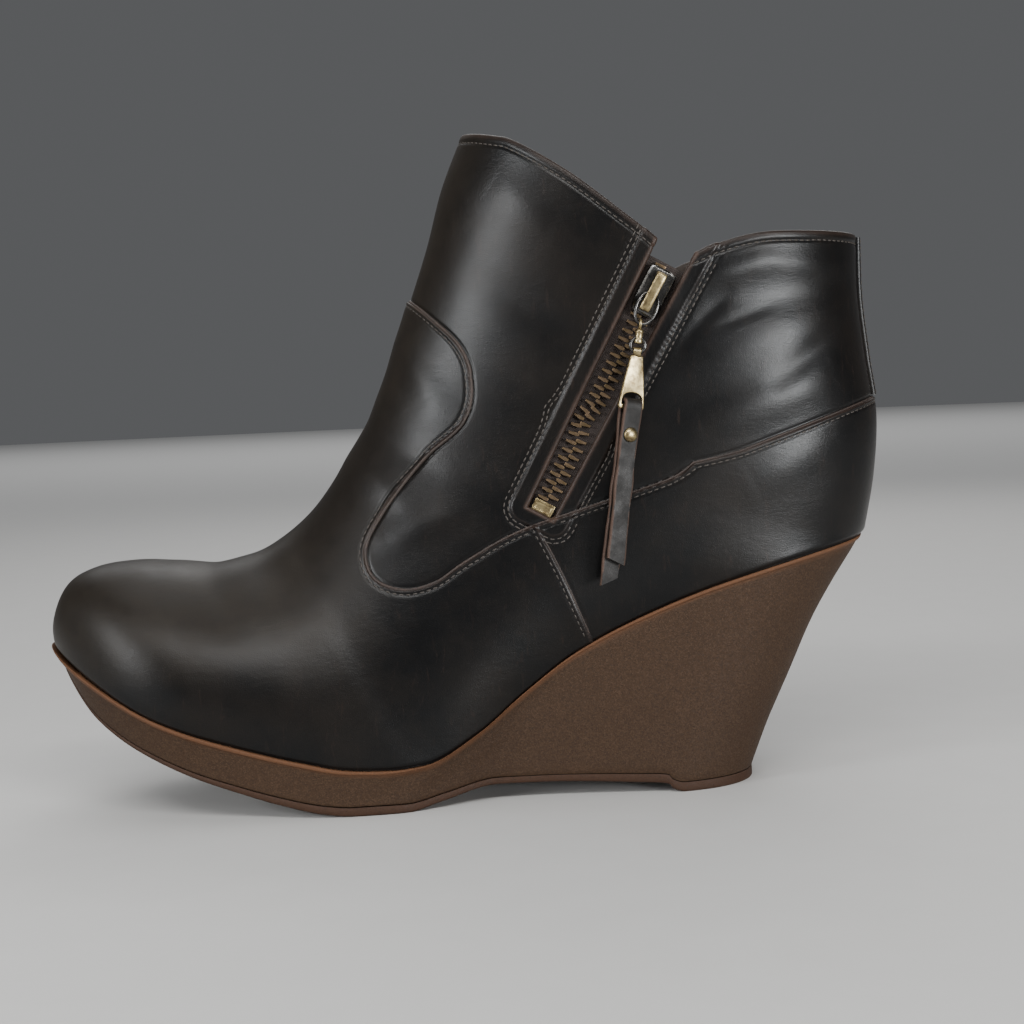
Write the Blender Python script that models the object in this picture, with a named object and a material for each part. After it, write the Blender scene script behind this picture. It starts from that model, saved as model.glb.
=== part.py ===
"""Wedge ankle boot for the right foot, in metres, +Z up.

The toe points along -X and the zip is on the inner side, which faces -Y. The origin is at the
bottom centre of the boot's box. The upper, the sole and everything on them are worked out from one
description of the last: four lines in the side view and a half-width at each point between them.
"""

import math

import bmesh
import bpy
import numpy as np
from mathutils import Matrix, Vector

# Driving sizes
LENGTH = 0.248
BALL_INNER = 0.0398
BALL_OUTER = 0.0457
PLATFORM = 0.0128
TOE_RISE = 0.0359
HEEL_RISE = 0.0582
FRONT_HEIGHT = 0.170
BACK_HEIGHT = 0.087
COLLAR_WIDTH = 0.069
TOE_ROUND = 0.050
HEEL_ROUND = 0.044
TOE_SWING = 0.005

# Sole
HEEL_BASE_END = 0.0845
HEEL_BASE_WIDTH = 0.052
HEEL_BASE_ROUND = 0.032
TREAD_TOE_RISE = 0.0450
ARCH = 0.0049
OUTSOLE = 0.0026
HEEL_LIFT_STEP = 0.0012
LIFT_EDGE = 0.0008
LIFT_RAMP = 0.0040
RIM = 0.0013
RIM_LIP = 0.0006
SOLE_EDGE = 0.0006

# Upper
WALL = 0.0020
PANEL_STEP = 0.0009
INSOLE = 0.0022
INSOLE_ROOM = 0.0016
BACKSTAY_WIDTH = 0.013
BACKSTAY = 0.0012

# Zip, along its own centre line in the side view
ZIP_SLANT = math.radians(29.2)
ZIP_SLOT_LOW = 0.0092
ZIP_SLOT_HIGH = 0.0122
ZIP_SLOT_LENGTH = 0.080
TAPE = 0.0005
TAPE_LAP = 0.0045
TAPE_ROOM = 0.0006
CHAIN_WIDTH = 0.0056
CHAIN = 0.0013
TOOTH_PITCH = 0.0025
TOOTH_STEP = 0.0004
STOP_WIDTH = 0.0062
STOP_LENGTH = 0.0035
SLIDER_WIDTH = 0.0084
SLIDER_LENGTH = 0.0140
SLIDER = 0.0012
BRIDGE_WIDTH = 0.0028
BRIDGE_LENGTH = 0.0118
BRIDGE_BAR = 0.0011
BRIDGE_ROOM = 0.0018

# Pull
WIRE = 0.0009
LINK_LENGTH = 0.0098
LINK_WIDTH = 0.0066
LINK_FLAT = 0.55
SWIVEL_WIDTH = 0.0024
SWIVEL_LENGTH = 0.0040
RING_WIDTH = 0.0050
TAG_LENGTH = 0.0160
TAG_TOP_WIDTH = 0.0034
TAG_LOW_WIDTH = 0.0082
TAG = 0.0011
TAG_SLOT_HEIGHT = 0.0034
TAG_ROLL = 0.0022
STRAP_LENGTH = 0.0510
STRAP_WIDTH = 0.0054
STRAP = 0.0012
STRAP_SPLAY = 0.0020
RIVET_WIDTH = 0.0042
RIVET_DROP = 0.0070
TAG_TURN = math.radians(25)

# How far the forms reach past the collar, where they are cut
COLLAR_ROOM = 0.016

# Room between neighbouring solids
GAP = 0.0003
PLAY = 0.0004

# Mesh steps, and the distance within which points are one
WELD = 0.000002
SOLE_SECTIONS = 32
BACK_SECTIONS = 9
ARCH_STEPS = 11

# The line where upper and sole meet: x as a share of LENGTH, height above the platform as
# shares of TOE_RISE and HEEL_RISE
FEATHER = (
    ("tip", -0.500, 1.000, 0.000),
    ("toe", -0.430, 0.740, 0.000),
    ("toe root", -0.345, 0.445, 0.000),
    ("ball front", -0.255, 0.225, 0.000),
    ("ball", -0.190, 0.100, 0.000),
    ("tread front", -0.130, 0.014, 0.000),
    ("tread", -0.088, 0.000, 0.000),
    ("waist front", -0.050, 0.000, 0.012),
    ("waist", 0.012, 0.000, 0.142),
    ("arch", 0.067, 0.000, 0.324),
    ("arch back", 0.127, 0.000, 0.505),
    ("seat front", 0.200, 0.000, 0.660),
    ("seat", 0.300, 0.000, 0.818),
    ("heel", 0.400, 0.000, 0.930),
    ("back", 0.480, 0.000, 1.000),
)

# The sole's underside: x as a share of LENGTH, heights as shares of TREAD_TOE_RISE and ARCH
TREAD = (
    ("tip", -0.490, 1.000, 0.000),
    ("toe", -0.430, 0.640, 0.000),
    ("toe root", -0.345, 0.370, 0.000),
    ("ball front", -0.265, 0.190, 0.000),
    ("ball", -0.205, 0.078, 0.000),
    ("tread front", -0.165, 0.022, 0.000),
    ("flat front", -0.130, 0.000, 0.000),
    ("flat back", -0.070, 0.000, 0.000),
    ("waist front", -0.030, 0.000, 0.420),
    ("waist", 0.030, 0.000, 1.000),
    ("arch", 0.090, 0.000, 0.960),
    ("heel front", 0.195, 0.000, 0.700),
    ("lift front", 0.232, 0.000, 0.520),
)

# The front line from toe tip to collar: x as a share of LENGTH, height above the feather line
# as a share of FRONT_HEIGHT
RIDGE = (
    ("tip", -0.500, 0.010),
    ("nose", -0.4965, 0.053),
    ("nose top", -0.478, 0.118),
    ("toe front", -0.448, 0.163),
    ("toe", -0.395, 0.212),
    ("toe back", -0.350, 0.240),
    ("crease", -0.292, 0.267),
    ("vamp", -0.240, 0.310),
    ("throat", -0.181, 0.392),
    ("instep", -0.129, 0.508),
    ("shin root", -0.089, 0.620),
    ("shin low", -0.052, 0.762),
    ("shin", -0.026, 0.855),
    ("shin high", -0.006, 0.935),
    ("collar", 0.020, 1.000),
)

# The back seam: x as a share of LENGTH, height as a share of BACK_HEIGHT
BACK_SEAM = (
    ("seat", 0.4815, 0.000),
    ("heel", 0.4950, 0.200),
    ("heel round", 0.5000, 0.400),
    ("ankle", 0.4915, 0.600),
    ("collar low", 0.4845, 0.800),
    ("collar", 0.4840, 1.000),
)

# The collar's edge: share of the way from front to back, height as a share of the front's rise
# over the back
COLLAR = (
    ("front", 0.000, 1.000),
    ("front slope", 0.080, 0.940),
    ("slope", 0.240, 0.610),
    ("slope low", 0.420, 0.120),
    ("notch", 0.530, -0.160),
    ("behind notch", 0.610, -0.080),
    ("side", 0.720, 0.000),
    ("back side", 0.860, 0.010),
    ("back", 1.000, 0.000),
)

# Sections fanned from the lower line to the front line. Lower: 0 to 1 along the feather line and 1
# to 2 up the back seam. Front: share of the front line. Half-widths, inner and outer, as shares of
# BALL_INNER and BALL_OUTER, then where the section is widest and how full it is above and below
FAN = (
    ("tip", 0.000, 0.000, 0.950, 0.930, 0.14, 2.4, 2.0),
    ("toe", 0.046, 0.100, 0.955, 0.935, 0.14, 2.4, 2.0),
    ("toe root", 0.120, 0.180, 0.970, 0.950, 0.14, 2.3, 2.0),
    ("ball front", 0.215, 0.260, 0.990, 0.980, 0.14, 2.2, 2.0),
    ("ball", 0.325, 0.335, 1.000, 1.000, 0.14, 2.05, 2.0),
    ("waist", 0.490, 0.420, 0.925, 0.880, 0.18, 1.95, 2.0),
    ("instep", 0.650, 0.500, 0.830, 0.765, 0.27, 1.95, 2.0),
    ("seat", 0.820, 0.575, 0.795, 0.705, 0.38, 2.0, 2.1),
    ("heel", 1.000, 0.700, 0.800, 0.710, 0.44, 2.0, 2.2),
    ("ankle", 1.310, 0.780, 0.815, 0.725, 0.47, 2.05, 2.25),
    ("shaft", 1.690, 0.890, 0.840, 0.745, 0.50, 2.1, 2.3),
    ("collar", 2.000, 1.000, 0.860, 0.755, 0.50, 2.1, 2.3),
)

# Outline of the upper on the sole, seen from above: x as a share of LENGTH, half-widths as shares
PLAN = (
    ("toe", -0.500, 0.940, 0.920),
    ("toe root", -0.360, 0.960, 0.945),
    ("ball", -0.181, 1.000, 1.000),
    ("tread", -0.080, 0.965, 0.955),
    ("waist front", -0.020, 0.885, 0.885),
    ("waist", 0.068, 0.735, 0.765),
    ("arch", 0.160, 0.695, 0.690),
    ("seat", 0.260, 0.705, 0.655),
    ("heel", 0.480, 0.720, 0.650),
)

# Outline of the sole's underside, in the same way
BASE_PLAN = (
    ("toe", -0.490, 0.880, 0.870),
    ("toe root", -0.360, 0.915, 0.905),
    ("ball", -0.181, 0.985, 0.985),
    ("tread", -0.090, 0.945, 0.935),
    ("waist front", -0.040, 0.840, 0.845),
    ("waist", 0.040, 0.665, 0.700),
    ("arch", 0.120, 0.640, 0.620),
    ("base", 0.220, 0.650, 0.575),
    ("base end", 0.340, 0.655, 0.575),
)

# Thickness of the outsole's edge: x as a share of LENGTH, share of OUTSOLE
TREAD_EDGE = (
    ("tip", -0.490, 0.42),
    ("toe root", -0.330, 0.62),
    ("tread", -0.110, 1.06),
    ("waist", 0.020, 0.78),
    ("arch", 0.120, 0.86),
    ("heel", 0.240, 1.12),
    ("heel end", 0.340, 1.20),
)

# Back edge of the wedge: share of the way back from the base to the feather line, and share of
# the way up
WEDGE_BACK = (
    ("base", 0.000, 0.000),
    ("low", 0.150, 0.190),
    ("middle", 0.345, 0.400),
    ("high", 0.560, 0.635),
    ("top", 0.750, 0.800),
    ("under rim", 0.950, 0.955),
    ("rim", 1.000, 1.000),
)

# Edge where the vamp and counter panels lap over the shaft: x as a share of LENGTH, height above
# the feather line as a share of FRONT_HEIGHT
PANEL_EDGE = (
    ("ridge", -0.062, 0.790),
    ("off ridge", -0.024, 0.728),
    ("shoulder", 0.012, 0.640),
    ("bend", 0.024, 0.575),
    ("bend low", 0.011, 0.520),
    ("throat", -0.034, 0.500),
    ("neck", -0.086, 0.422),
    ("side", -0.109, 0.356),
    ("low", -0.100, 0.312),
    ("lowest", -0.067, 0.290),
    ("turn", -0.030, 0.288),
    ("rise", 0.004, 0.290),
    ("band front", 0.060, 0.272),
    ("band", 0.130, 0.233),
    ("band side", 0.230, 0.208),
    ("band back", 0.370, 0.213),
    ("back seam", 0.500, 0.237),
    ("past the seam", 0.540, 0.245),
)

# Where the zip starts: x as a share of LENGTH, height above the feather line as a share of
# FRONT_HEIGHT
ZIP_FOOT_X = 0.093
ZIP_FOOT_HEIGHT = 0.268
# Where the slider stands, as a share of the slot's length, and the pull's axis on its bridge
SLIDER_PLACE = 0.875
BRIDGE_PLACE = 0.12
# Lean of the link and of the tag from the vertical in the side view, toward the toe
LINK_LEAN = math.radians(24)
TAG_LEAN = math.radians(9)
# Lean away from the leather, on which the strap rests
LINK_OUT = math.radians(-5)
TAG_OUT = math.radians(-1.5)


def clear_scene():
    for obj in list(bpy.data.objects):
        bpy.data.objects.remove(obj, do_unlink=True)


def material(name, colour, roughness, metallic=0.0):
    made = bpy.data.materials.new(name)
    made.use_nodes = True
    shader = made.node_tree.nodes["Principled BSDF"]
    shader.inputs["Base Color"].default_value = (*colour, 1.0)
    shader.inputs["Roughness"].default_value = roughness
    shader.inputs["Metallic"].default_value = metallic
    made.diffuse_color = (*colour, 1.0)
    return made


def column(table, index):
    return np.array([row[index] for row in table], float)


def follow(knots, values, x):
    """Smooth curve through a table's values that never overshoots them."""
    knots = np.asarray(knots, float)
    values = np.asarray(values, float)
    steps = np.diff(knots)
    slopes = np.diff(values) / steps
    bends = np.zeros(len(knots))
    same = slopes[:-1] * slopes[1:] > 0
    before = 2 * steps[1:] + steps[:-1]
    after = steps[1:] + 2 * steps[:-1]
    with np.errstate(divide="ignore", invalid="ignore"):
        mean = (before + after) / (before / slopes[:-1] + after / slopes[1:])
    bends[1:-1] = np.where(same, mean, 0.0)
    bends[0] = slopes[0]
    bends[-1] = slopes[-1]
    x = np.clip(np.asarray(x, float), knots[0], knots[-1])
    cell = np.clip(np.searchsorted(knots, x, side="right") - 1, 0, len(steps) - 1)
    t = (x - knots[cell]) / steps[cell]
    start = values[cell] * (1 + 2 * t) * (1 - t) ** 2 + bends[cell] * steps[cell] * t * (1 - t) ** 2
    end = values[cell + 1] * t * t * (3 - 2 * t) - bends[cell + 1] * steps[cell] * t * t * (1 - t)
    return start + end


def through(points, count=401):
    """Even points along a smooth curve through the given ones."""
    points = np.asarray(points, float)
    marks = np.concatenate([[0], np.cumsum(np.linalg.norm(np.diff(points, axis=0), axis=1) ** 0.5)])
    ends = np.vstack([2 * points[0] - points[1], points, 2 * points[-1] - points[-2]])
    places = np.concatenate([[-marks[1]], marks, [2 * marks[-1] - marks[-2]]])
    fine = []
    for i in range(1, len(points)):
        t0, t1, t2, t3 = places[i - 1 : i + 3]
        p0, p1, p2, p3 = ends[i - 1 : i + 3]
        t = np.linspace(t1, t2, 24, endpoint=i == len(points) - 1)[:, None]
        a = ((t1 - t) * p0 + (t - t0) * p1) / (t1 - t0)
        b = ((t2 - t) * p1 + (t - t1) * p2) / (t2 - t1)
        c = ((t3 - t) * p2 + (t - t2) * p3) / (t3 - t2)
        d = ((t2 - t) * a + (t - t0) * b) / (t2 - t0)
        e = ((t3 - t) * b + (t - t1) * c) / (t3 - t1)
        fine.append(((t2 - t) * d + (t - t1) * e) / (t2 - t1))
    fine = np.vstack(fine)
    run = np.concatenate([[0], np.cumsum(np.linalg.norm(np.diff(fine, axis=0), axis=1))])
    even = np.linspace(0, run[-1], count)
    return np.column_stack([np.interp(even, run, fine[:, k]) for k in range(fine.shape[1])])


def along(line, share):
    """Point at a share of an evenly spaced line."""
    share = np.clip(np.asarray(share, float), 0, 1) * (len(line) - 1)
    steps = np.arange(len(line))
    return np.stack([np.interp(share, steps, line[:, k]) for k in range(line.shape[1])], axis=-1)


def rounded(t, power):
    """Falls from 1 to 0 like the end of an oval as t goes from 0 to 1."""
    return (1 - np.clip(t, 0, 1) ** power) ** (1 / power)


def feather_height(x):
    toe = column(FEATHER, 2) * TOE_RISE
    heel = column(FEATHER, 3) * HEEL_RISE
    return follow(column(FEATHER, 1) * LENGTH, PLATFORM + toe + heel, x)


def tread_height(x):
    """Underside of the sole: toe spring, a flat tread, the arch and a flat heel lift."""
    knots = column(TREAD, 1) * LENGTH
    heights = column(TREAD, 2) * TREAD_TOE_RISE + column(TREAD, 3) * ARCH
    lift_front = knots[-1]
    flat = lift_front + LIFT_EDGE + LIFT_RAMP
    knots = np.append(knots, [lift_front + LIFT_EDGE, flat, HEEL_BASE_END])
    heights = np.append(heights, [max(heights[-1] - HEEL_LIFT_STEP, 0.0), 0.0, 0.0])
    return follow(knots, heights, x)


def parting_height(x):
    edge = follow(column(TREAD_EDGE, 1) * LENGTH, column(TREAD_EDGE, 2) * OUTSOLE, x)
    return tread_height(x) + edge


def above_feather(table):
    """Side-view points of a table whose heights count from the feather line."""
    x = column(table, 1) * LENGTH
    return np.column_stack([x, feather_height(x) + column(table, 2) * FRONT_HEIGHT])


TOE_X = -0.5 * LENGTH
SEAT_X = FEATHER[-1][1] * LENGTH
SEAT_Z = float(feather_height(SEAT_X))
RIDGE_LINE = through(above_feather(RIDGE))
BACK_LINE = through(
    np.column_stack(
        [column(BACK_SEAM, 1) * LENGTH, SEAT_Z + column(BACK_SEAM, 2) * BACK_HEIGHT]
    )
)


def collar_line():
    front = RIDGE_LINE[-1]
    back = BACK_LINE[-1]
    x = front[0] + column(COLLAR, 1) * (back[0] - front[0])
    z = back[1] + column(COLLAR, 2) * (front[1] - back[1])
    return through(np.column_stack([x, z]))


COLLAR_LINE = collar_line()


def toe_closing(x):
    return rounded((TOE_X + TOE_ROUND - x) / TOE_ROUND, 1.75)


def heel_closing(x):
    return rounded((x - (SEAT_X - HEEL_ROUND)) / HEEL_ROUND, 2.0)


def side_widths(side):
    """Table column and ball half-width of one side: -1 inner, +1 outer."""
    return (2, BALL_INNER) if side < 0 else (3, BALL_OUTER)


def plan_width(x, side):
    """Half-width of the upper where it meets the sole."""
    index, ball = side_widths(side)
    wide = follow(column(PLAN, 1) * LENGTH, column(PLAN, index) * ball, x)
    return wide * toe_closing(x) * heel_closing(x)


def base_width(x, side):
    """Half-width of the sole's underside."""
    index, ball = side_widths(side)
    heel = HEEL_BASE_WIDTH / 2 / (BALL_INNER * BASE_PLAN[-1][2])
    wide = follow(column(BASE_PLAN, 1) * LENGTH, column(BASE_PLAN, index) * ball, x)
    seat = np.clip((x - BASE_PLAN[-3][1] * LENGTH) / (0.1 * LENGTH), 0, 1)
    wide = wide * (1 + (heel - 1) * seat)
    tip = TREAD[0][1] * LENGTH
    toe = rounded((tip + TOE_ROUND - x) / TOE_ROUND, 1.75)
    back = rounded((x - (HEEL_BASE_END - HEEL_BASE_ROUND)) / HEEL_BASE_ROUND, 2.2)
    return wide * toe * back


def centre(x):
    """How far the boot's centre line swings to the inner side, toward the toe."""
    t = np.clip((-0.18 * LENGTH - x) / (0.32 * LENGTH), 0, 1)
    return -TOE_SWING * t * t * (3 - 2 * t)


# Moves the boot so that its box is centred on Y
Y_SHIFT = (BALL_INNER - BALL_OUTER) / 2


def fan_ends(s):
    """Lower and front end of the fan line at s, from 0 at the toe tip to 1 at the collar."""
    places = np.linspace(0, 1, len(FAN))
    low = follow(places, column(FAN, 1), s)
    x = TOE_X + np.clip(low, 0, 1) * (SEAT_X - TOE_X)
    on_sole = np.stack([x, feather_height(x)], axis=-1)
    on_back = along(BACK_LINE, low - 1)
    lower = np.where((low > 1)[..., None], on_back, on_sole)
    front = along(RIDGE_LINE, follow(places, column(FAN, 2), s))
    return lower, front, low


def half_width(x, z, side):
    """Half-width of the upper at a point of the side view."""
    x = np.asarray(x, float)
    z = np.asarray(z, float)
    below = np.zeros_like(x)
    above = np.ones_like(x)
    for _ in range(34):
        s = (below + above) / 2
        lower, front, _ = fan_ends(s)
        line = front - lower
        turn = line[..., 0] * (z - lower[..., 1]) - line[..., 1] * (x - lower[..., 0])
        behind = turn < 0
        below = np.where(behind, s, below)
        above = np.where(behind, above, s)
    s = (below + above) / 2
    lower, front, low = fan_ends(s)
    line = front - lower
    reach = (x - lower[..., 0]) * line[..., 0] + (z - lower[..., 1]) * line[..., 1]
    r = np.clip(reach / np.maximum((line**2).sum(-1), 1e-12), 0, 1)
    places = np.linspace(0, 1, len(FAN))
    index, ball = (3, BALL_INNER) if side < 0 else (4, BALL_OUTER)
    wide = follow(places, column(FAN, index), s) * ball * toe_closing(lower[..., 0])
    collar = COLLAR_WIDTH / 2 / (FAN[-1][3] * BALL_INNER)
    wide = wide * (1 + (collar - 1) * np.clip(3 * s - 2, 0, 1))
    at_sole = np.where(low > 1, 0.0, plan_width(lower[..., 0], side))
    wide = np.maximum(wide, at_sole * 1.001 + 1e-7)
    widest = follow(places, column(FAN, 5), s)
    full_above = follow(places, column(FAN, 6), s)
    full_below = follow(places, column(FAN, 7), s)
    start = (1 - np.clip(at_sole / wide, 0, 1) ** full_below) ** (1 / full_below)
    up = np.clip((r - widest) / (1 - widest), 0, 1)
    down = np.clip((widest - r) / widest, 0, 1) * start
    top = (1 - up**full_above) ** (1 / full_above)
    low_part = (1 - down**full_below) ** (1 / full_below)
    return wide * np.where(r > widest, top, low_part)


def patch(bottom, top, left, right, u, v):
    """Points between four lines that meet at their corners."""
    u = np.asarray(u, float)[..., None]
    v = np.asarray(v, float)[..., None]
    corners = (
        (1 - u) * (1 - v) * bottom(0.0)
        + u * (1 - v) * bottom(1.0)
        + (1 - u) * v * top(0.0)
        + u * v * top(1.0)
    )
    across = (1 - v) * bottom(u[..., 0]) + v * top(u[..., 0])
    upright = (1 - u) * left(v[..., 0]) + u * right(v[..., 0])
    return across + upright - corners


def bend_shares(count):
    """Shares from 0 to 1 that crowd at both ends, where outlines turn round."""
    return (1 - np.cos(np.pi * np.arange(count + 1) / count)) / 2


def sole_shares():
    """Stations along the sole: crowded at both ends, with one at each edge of its flats."""
    ends = (TREAD[0][1] * LENGTH, HEEL_BASE_END)
    lift = TREAD[-1][1] * LENGTH
    edges = [TREAD[6][1] * LENGTH, TREAD[7][1] * LENGTH, lift, lift + LIFT_EDGE]
    edges.append(lift + LIFT_EDGE + LIFT_RAMP)
    keys = [(x - ends[0]) / (ends[1] - ends[0]) for x in edges]
    even = bend_shares(SOLE_SECTIONS)
    near = 0.3 / SOLE_SECTIONS
    kept = [u for u in even if min(abs(u - key) for key in keys) > near]
    return np.sort(np.array(kept + keys))


def feather_line(u):
    x = TOE_X + np.asarray(u, float) * (SEAT_X - TOE_X)
    return np.stack([x, feather_height(x)], axis=-1)


def ring(side_points, widths):
    """Closes inner and outer side points into rings: front, inner side, back, outer side."""
    inner, outer = widths
    x = side_points[..., 0]
    z = side_points[..., 1]
    middle = centre(x) + Y_SHIFT
    one = np.stack([x, middle - inner, z], axis=-1)
    other = np.stack([x, middle + outer, z], axis=-1)
    return np.concatenate([one, other[:, -2:0:-1]], axis=1)


def fan_place(low):
    """The fan's s for a place on the lower line."""
    s = np.linspace(0, 1, 801)
    return np.interp(low, follow(np.linspace(0, 1, len(FAN)), column(FAN, 1), s), s)


def upper_arches(offset):
    """Arched sections of the upper, from toe tip to collar, moved out by an offset.

    Each row starts at the inner side's lower line, goes over the front line and ends at the
    outer side's lower line. The last row stands above the collar.
    """
    low = np.concatenate([sole_shares(), 1 + np.arange(1, BACK_SECTIONS + 1) / BACK_SECTIONS])
    low[0] = 0.002
    s = fan_place(low)
    r = bend_shares(ARCH_STEPS)
    lower, front, _ = fan_ends(s)
    side = lower[:, None] + r[None, :, None] * (front - lower)[:, None]
    halves = []
    for which in (-1, 1):
        wide = half_width(side[..., 0], side[..., 1], which)
        wide[:, -1] = 0.0
        wide[low >= 1, 0] = 0.0
        y = centre(side[..., 0]) + Y_SHIFT + which * wide
        halves.append(np.stack([side[..., 0], y, side[..., 1] + GAP], axis=-1))
    points = np.concatenate([halves[0], halves[1][:, -2::-1]], axis=1)
    normals = arch_normals(points, low)
    points = points + normals * offset
    return points, low


def arch_normals(points, low):
    """Outward normals of the arches; behind the heel each arch is a closed ring."""
    across = np.gradient(points, axis=1)
    closed = low >= 1
    seam = points[closed, 1] - points[closed, -2]
    across[closed, 0] = seam
    across[closed, -1] = seam
    back = np.gradient(points, axis=0)
    normals = -np.cross(across, back)
    for end in (0, -1):
        normals[~closed, end, 2] = 0.0
    lengths = np.linalg.norm(normals, axis=-1, keepdims=True)
    return normals / np.maximum(lengths, 1e-12)


def upper_form(name, offset, bottom, mat=None, hidden=True):
    """Filled form of the upper at an offset from its surface, its floor lowered by bottom."""
    points, low = upper_arches(offset)
    on_sole = low <= 1
    for end in (0, -1):
        edge = points[on_sole, end]
        points[on_sole, end, 2] = feather_height(edge[:, 0]) + GAP - bottom
    above = points[-1].copy()
    above[:, 2] += COLLAR_ROOM
    points[-1] = above
    rows, cols = points.shape[:2]
    faces = side_faces(rows, cols)
    faces.append(tuple(range(cols))[::-1])
    faces.append(tuple(range((rows - 1) * cols, rows * cols)))
    return mesh_object(name, points.reshape(-1, 3), faces, mat, hidden)


def link_object(name, mesh, mat, hidden=False):
    obj = bpy.data.objects.new(name, mesh)
    bpy.context.scene.collection.objects.link(obj)
    if mat is not None:
        mesh.materials.append(mat)
    if hidden:
        obj.hide_render = True
        obj.display_type = "WIRE"
    return obj


def mesh_object(name, points, faces, mat, hidden=False, smooth=40):
    mesh = bpy.data.meshes.new(name)
    mesh.from_pydata([tuple(map(float, p)) for p in points], [], [tuple(f) for f in faces])
    work = bmesh.new()
    work.from_mesh(mesh)
    bmesh.ops.remove_doubles(work, verts=work.verts, dist=WELD)
    bmesh.ops.recalc_face_normals(work, faces=work.faces)
    work.to_mesh(mesh)
    work.free()
    mesh.shade_smooth()
    mesh.set_sharp_from_angle(angle=math.radians(smooth))
    return link_object(name, mesh, mat, hidden)


def side_faces(rows, cols, start=0, wrap=True):
    faces = []
    for i in range(rows - 1):
        for j in range(cols if wrap else cols - 1):
            k = (j + 1) % cols
            faces.append((start + i * cols + j, start + i * cols + k,
                          start + (i + 1) * cols + k, start + (i + 1) * cols + j))
    return faces


def cap_faces(cols, start, flip):
    """Closes a ring straight across, from its inner to its outer side."""
    faces = []
    for j in range(cols // 2):
        a, b = start + j, start + j + 1
        c, d = start + (cols - j - 1) % cols, start + (cols - j) % cols
        face = [p for n, p in enumerate((a, b, c, d)) if p not in (a, b, c, d)[:n]]
        faces.append(face[::-1] if flip else face)
    return faces


def filled(name, rings, mat, hidden=False, smooth=40):
    rows, cols = rings.shape[:2]
    faces = side_faces(rows, cols)
    faces += cap_faces(cols, 0, True)
    faces += cap_faces(cols, (rows - 1) * cols, False)
    return mesh_object(name, rings.reshape(-1, 3), faces, mat, hidden, smooth)


def boolean(obj, other, operation):
    step = obj.modifiers.new(other.name, "BOOLEAN")
    step.operation = operation
    step.solver = "EXACT"
    step.object = other


def prism(name, outline, y0, y1):
    """Solid on a side-view outline, from y0 to y1."""
    count = len(outline)
    points = [(x, y0, z) for x, z in outline] + [(x, y1, z) for x, z in outline]
    faces = [tuple(range(count)), tuple(range(2 * count - 1, count - 1, -1))]
    faces += [(i, (i + 1) % count, (i + 1) % count + count, i + count) for i in range(count)]
    return mesh_object(name, points, faces, None, hidden=True)


# Zip coordinates: a along the zip from its foot, b across it, h out from the leather's surface
ZIP_FOOT = np.array(
    [
        ZIP_FOOT_X * LENGTH,
        float(feather_height(ZIP_FOOT_X * LENGTH)) + ZIP_FOOT_HEIGHT * FRONT_HEIGHT,
    ]
)
ZIP_ALONG = np.array([math.sin(ZIP_SLANT), math.cos(ZIP_SLANT)])
ZIP_ACROSS = np.array([math.cos(ZIP_SLANT), -math.sin(ZIP_SLANT)])


def zip_side_point(a, b):
    a = np.asarray(a, float)[..., None]
    b = np.asarray(b, float)[..., None]
    return ZIP_FOOT + a * ZIP_ALONG + b * ZIP_ACROSS


def on_inner_wall(x, z, h):
    """Point at a height h over the inner side's surface."""
    step = LENGTH * 0.002
    wide = half_width(x, z, -1)
    slope_x = (half_width(x + step, z, -1) - half_width(x - step, z, -1)) / (2 * step)
    slope_z = (half_width(x, z + step, -1) - half_width(x, z - step, -1)) / (2 * step)
    normal = np.stack([-slope_x, np.full_like(slope_x, -1.0), -slope_z], axis=-1)
    normal /= np.linalg.norm(normal, axis=-1, keepdims=True)
    base = np.stack([x, centre(x) + Y_SHIFT - wide, z + GAP], axis=-1)
    return base + normal * np.asarray(h, float)[..., None]


def on_zip(a, b, h):
    side = zip_side_point(a, b)
    return on_inner_wall(side[..., 0], side[..., 1], h)


def zip_block(name, a, b, low, high, mat, hidden=False):
    """Closed strip over a grid of zip coordinates, between two heights over the leather."""
    a, b = np.meshgrid(a, b, indexing="ij")
    under = on_zip(a, b, np.zeros_like(a) + low)
    over = on_zip(a, b, np.zeros_like(a) + high)
    return grid_block(name, under, over, mat, hidden)


def grid_block(name, under, over, mat, hidden=False):
    rows, cols = under.shape[:2]
    total = rows * cols
    points = np.vstack([under.reshape(-1, 3), over.reshape(-1, 3)])
    faces = [f[::-1] for f in side_faces(rows, cols, 0, wrap=False)]
    faces += side_faces(rows, cols, total, wrap=False)
    rim = [j for j in range(cols)]
    rim += [i * cols + cols - 1 for i in range(1, rows)]
    rim += [(rows - 1) * cols + j for j in range(cols - 2, -1, -1)]
    rim += [i * cols for i in range(rows - 2, 0, -1)]
    faces += [
        (rim[i], rim[(i + 1) % len(rim)], rim[(i + 1) % len(rim)] + total, rim[i] + total)
        for i in range(len(rim))
    ]
    return mesh_object(name, points, faces, mat, hidden)


def slot_half_width(a):
    """Half the slot's width, widening toward the collar."""
    share = np.clip(np.asarray(a, float) / ZIP_SLOT_LENGTH, -0.1, 1.3)
    return (ZIP_SLOT_LOW + share * (ZIP_SLOT_HIGH - ZIP_SLOT_LOW)) / 2


def region(name, line, up):
    """Cutter on one side of a side-view line: above it, or below it."""
    far = LENGTH * 2
    first = line[0] + (line[0] - line[1]) * 6
    last = line[-1] + (line[-1] - line[-2]) * 6
    outline = [first, *line, last]
    level = far if up else -far
    outline += [(far, last[1]), (far, level), (-far, level), (-far, first[1])]
    return prism(name, outline, -far, far)


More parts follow.
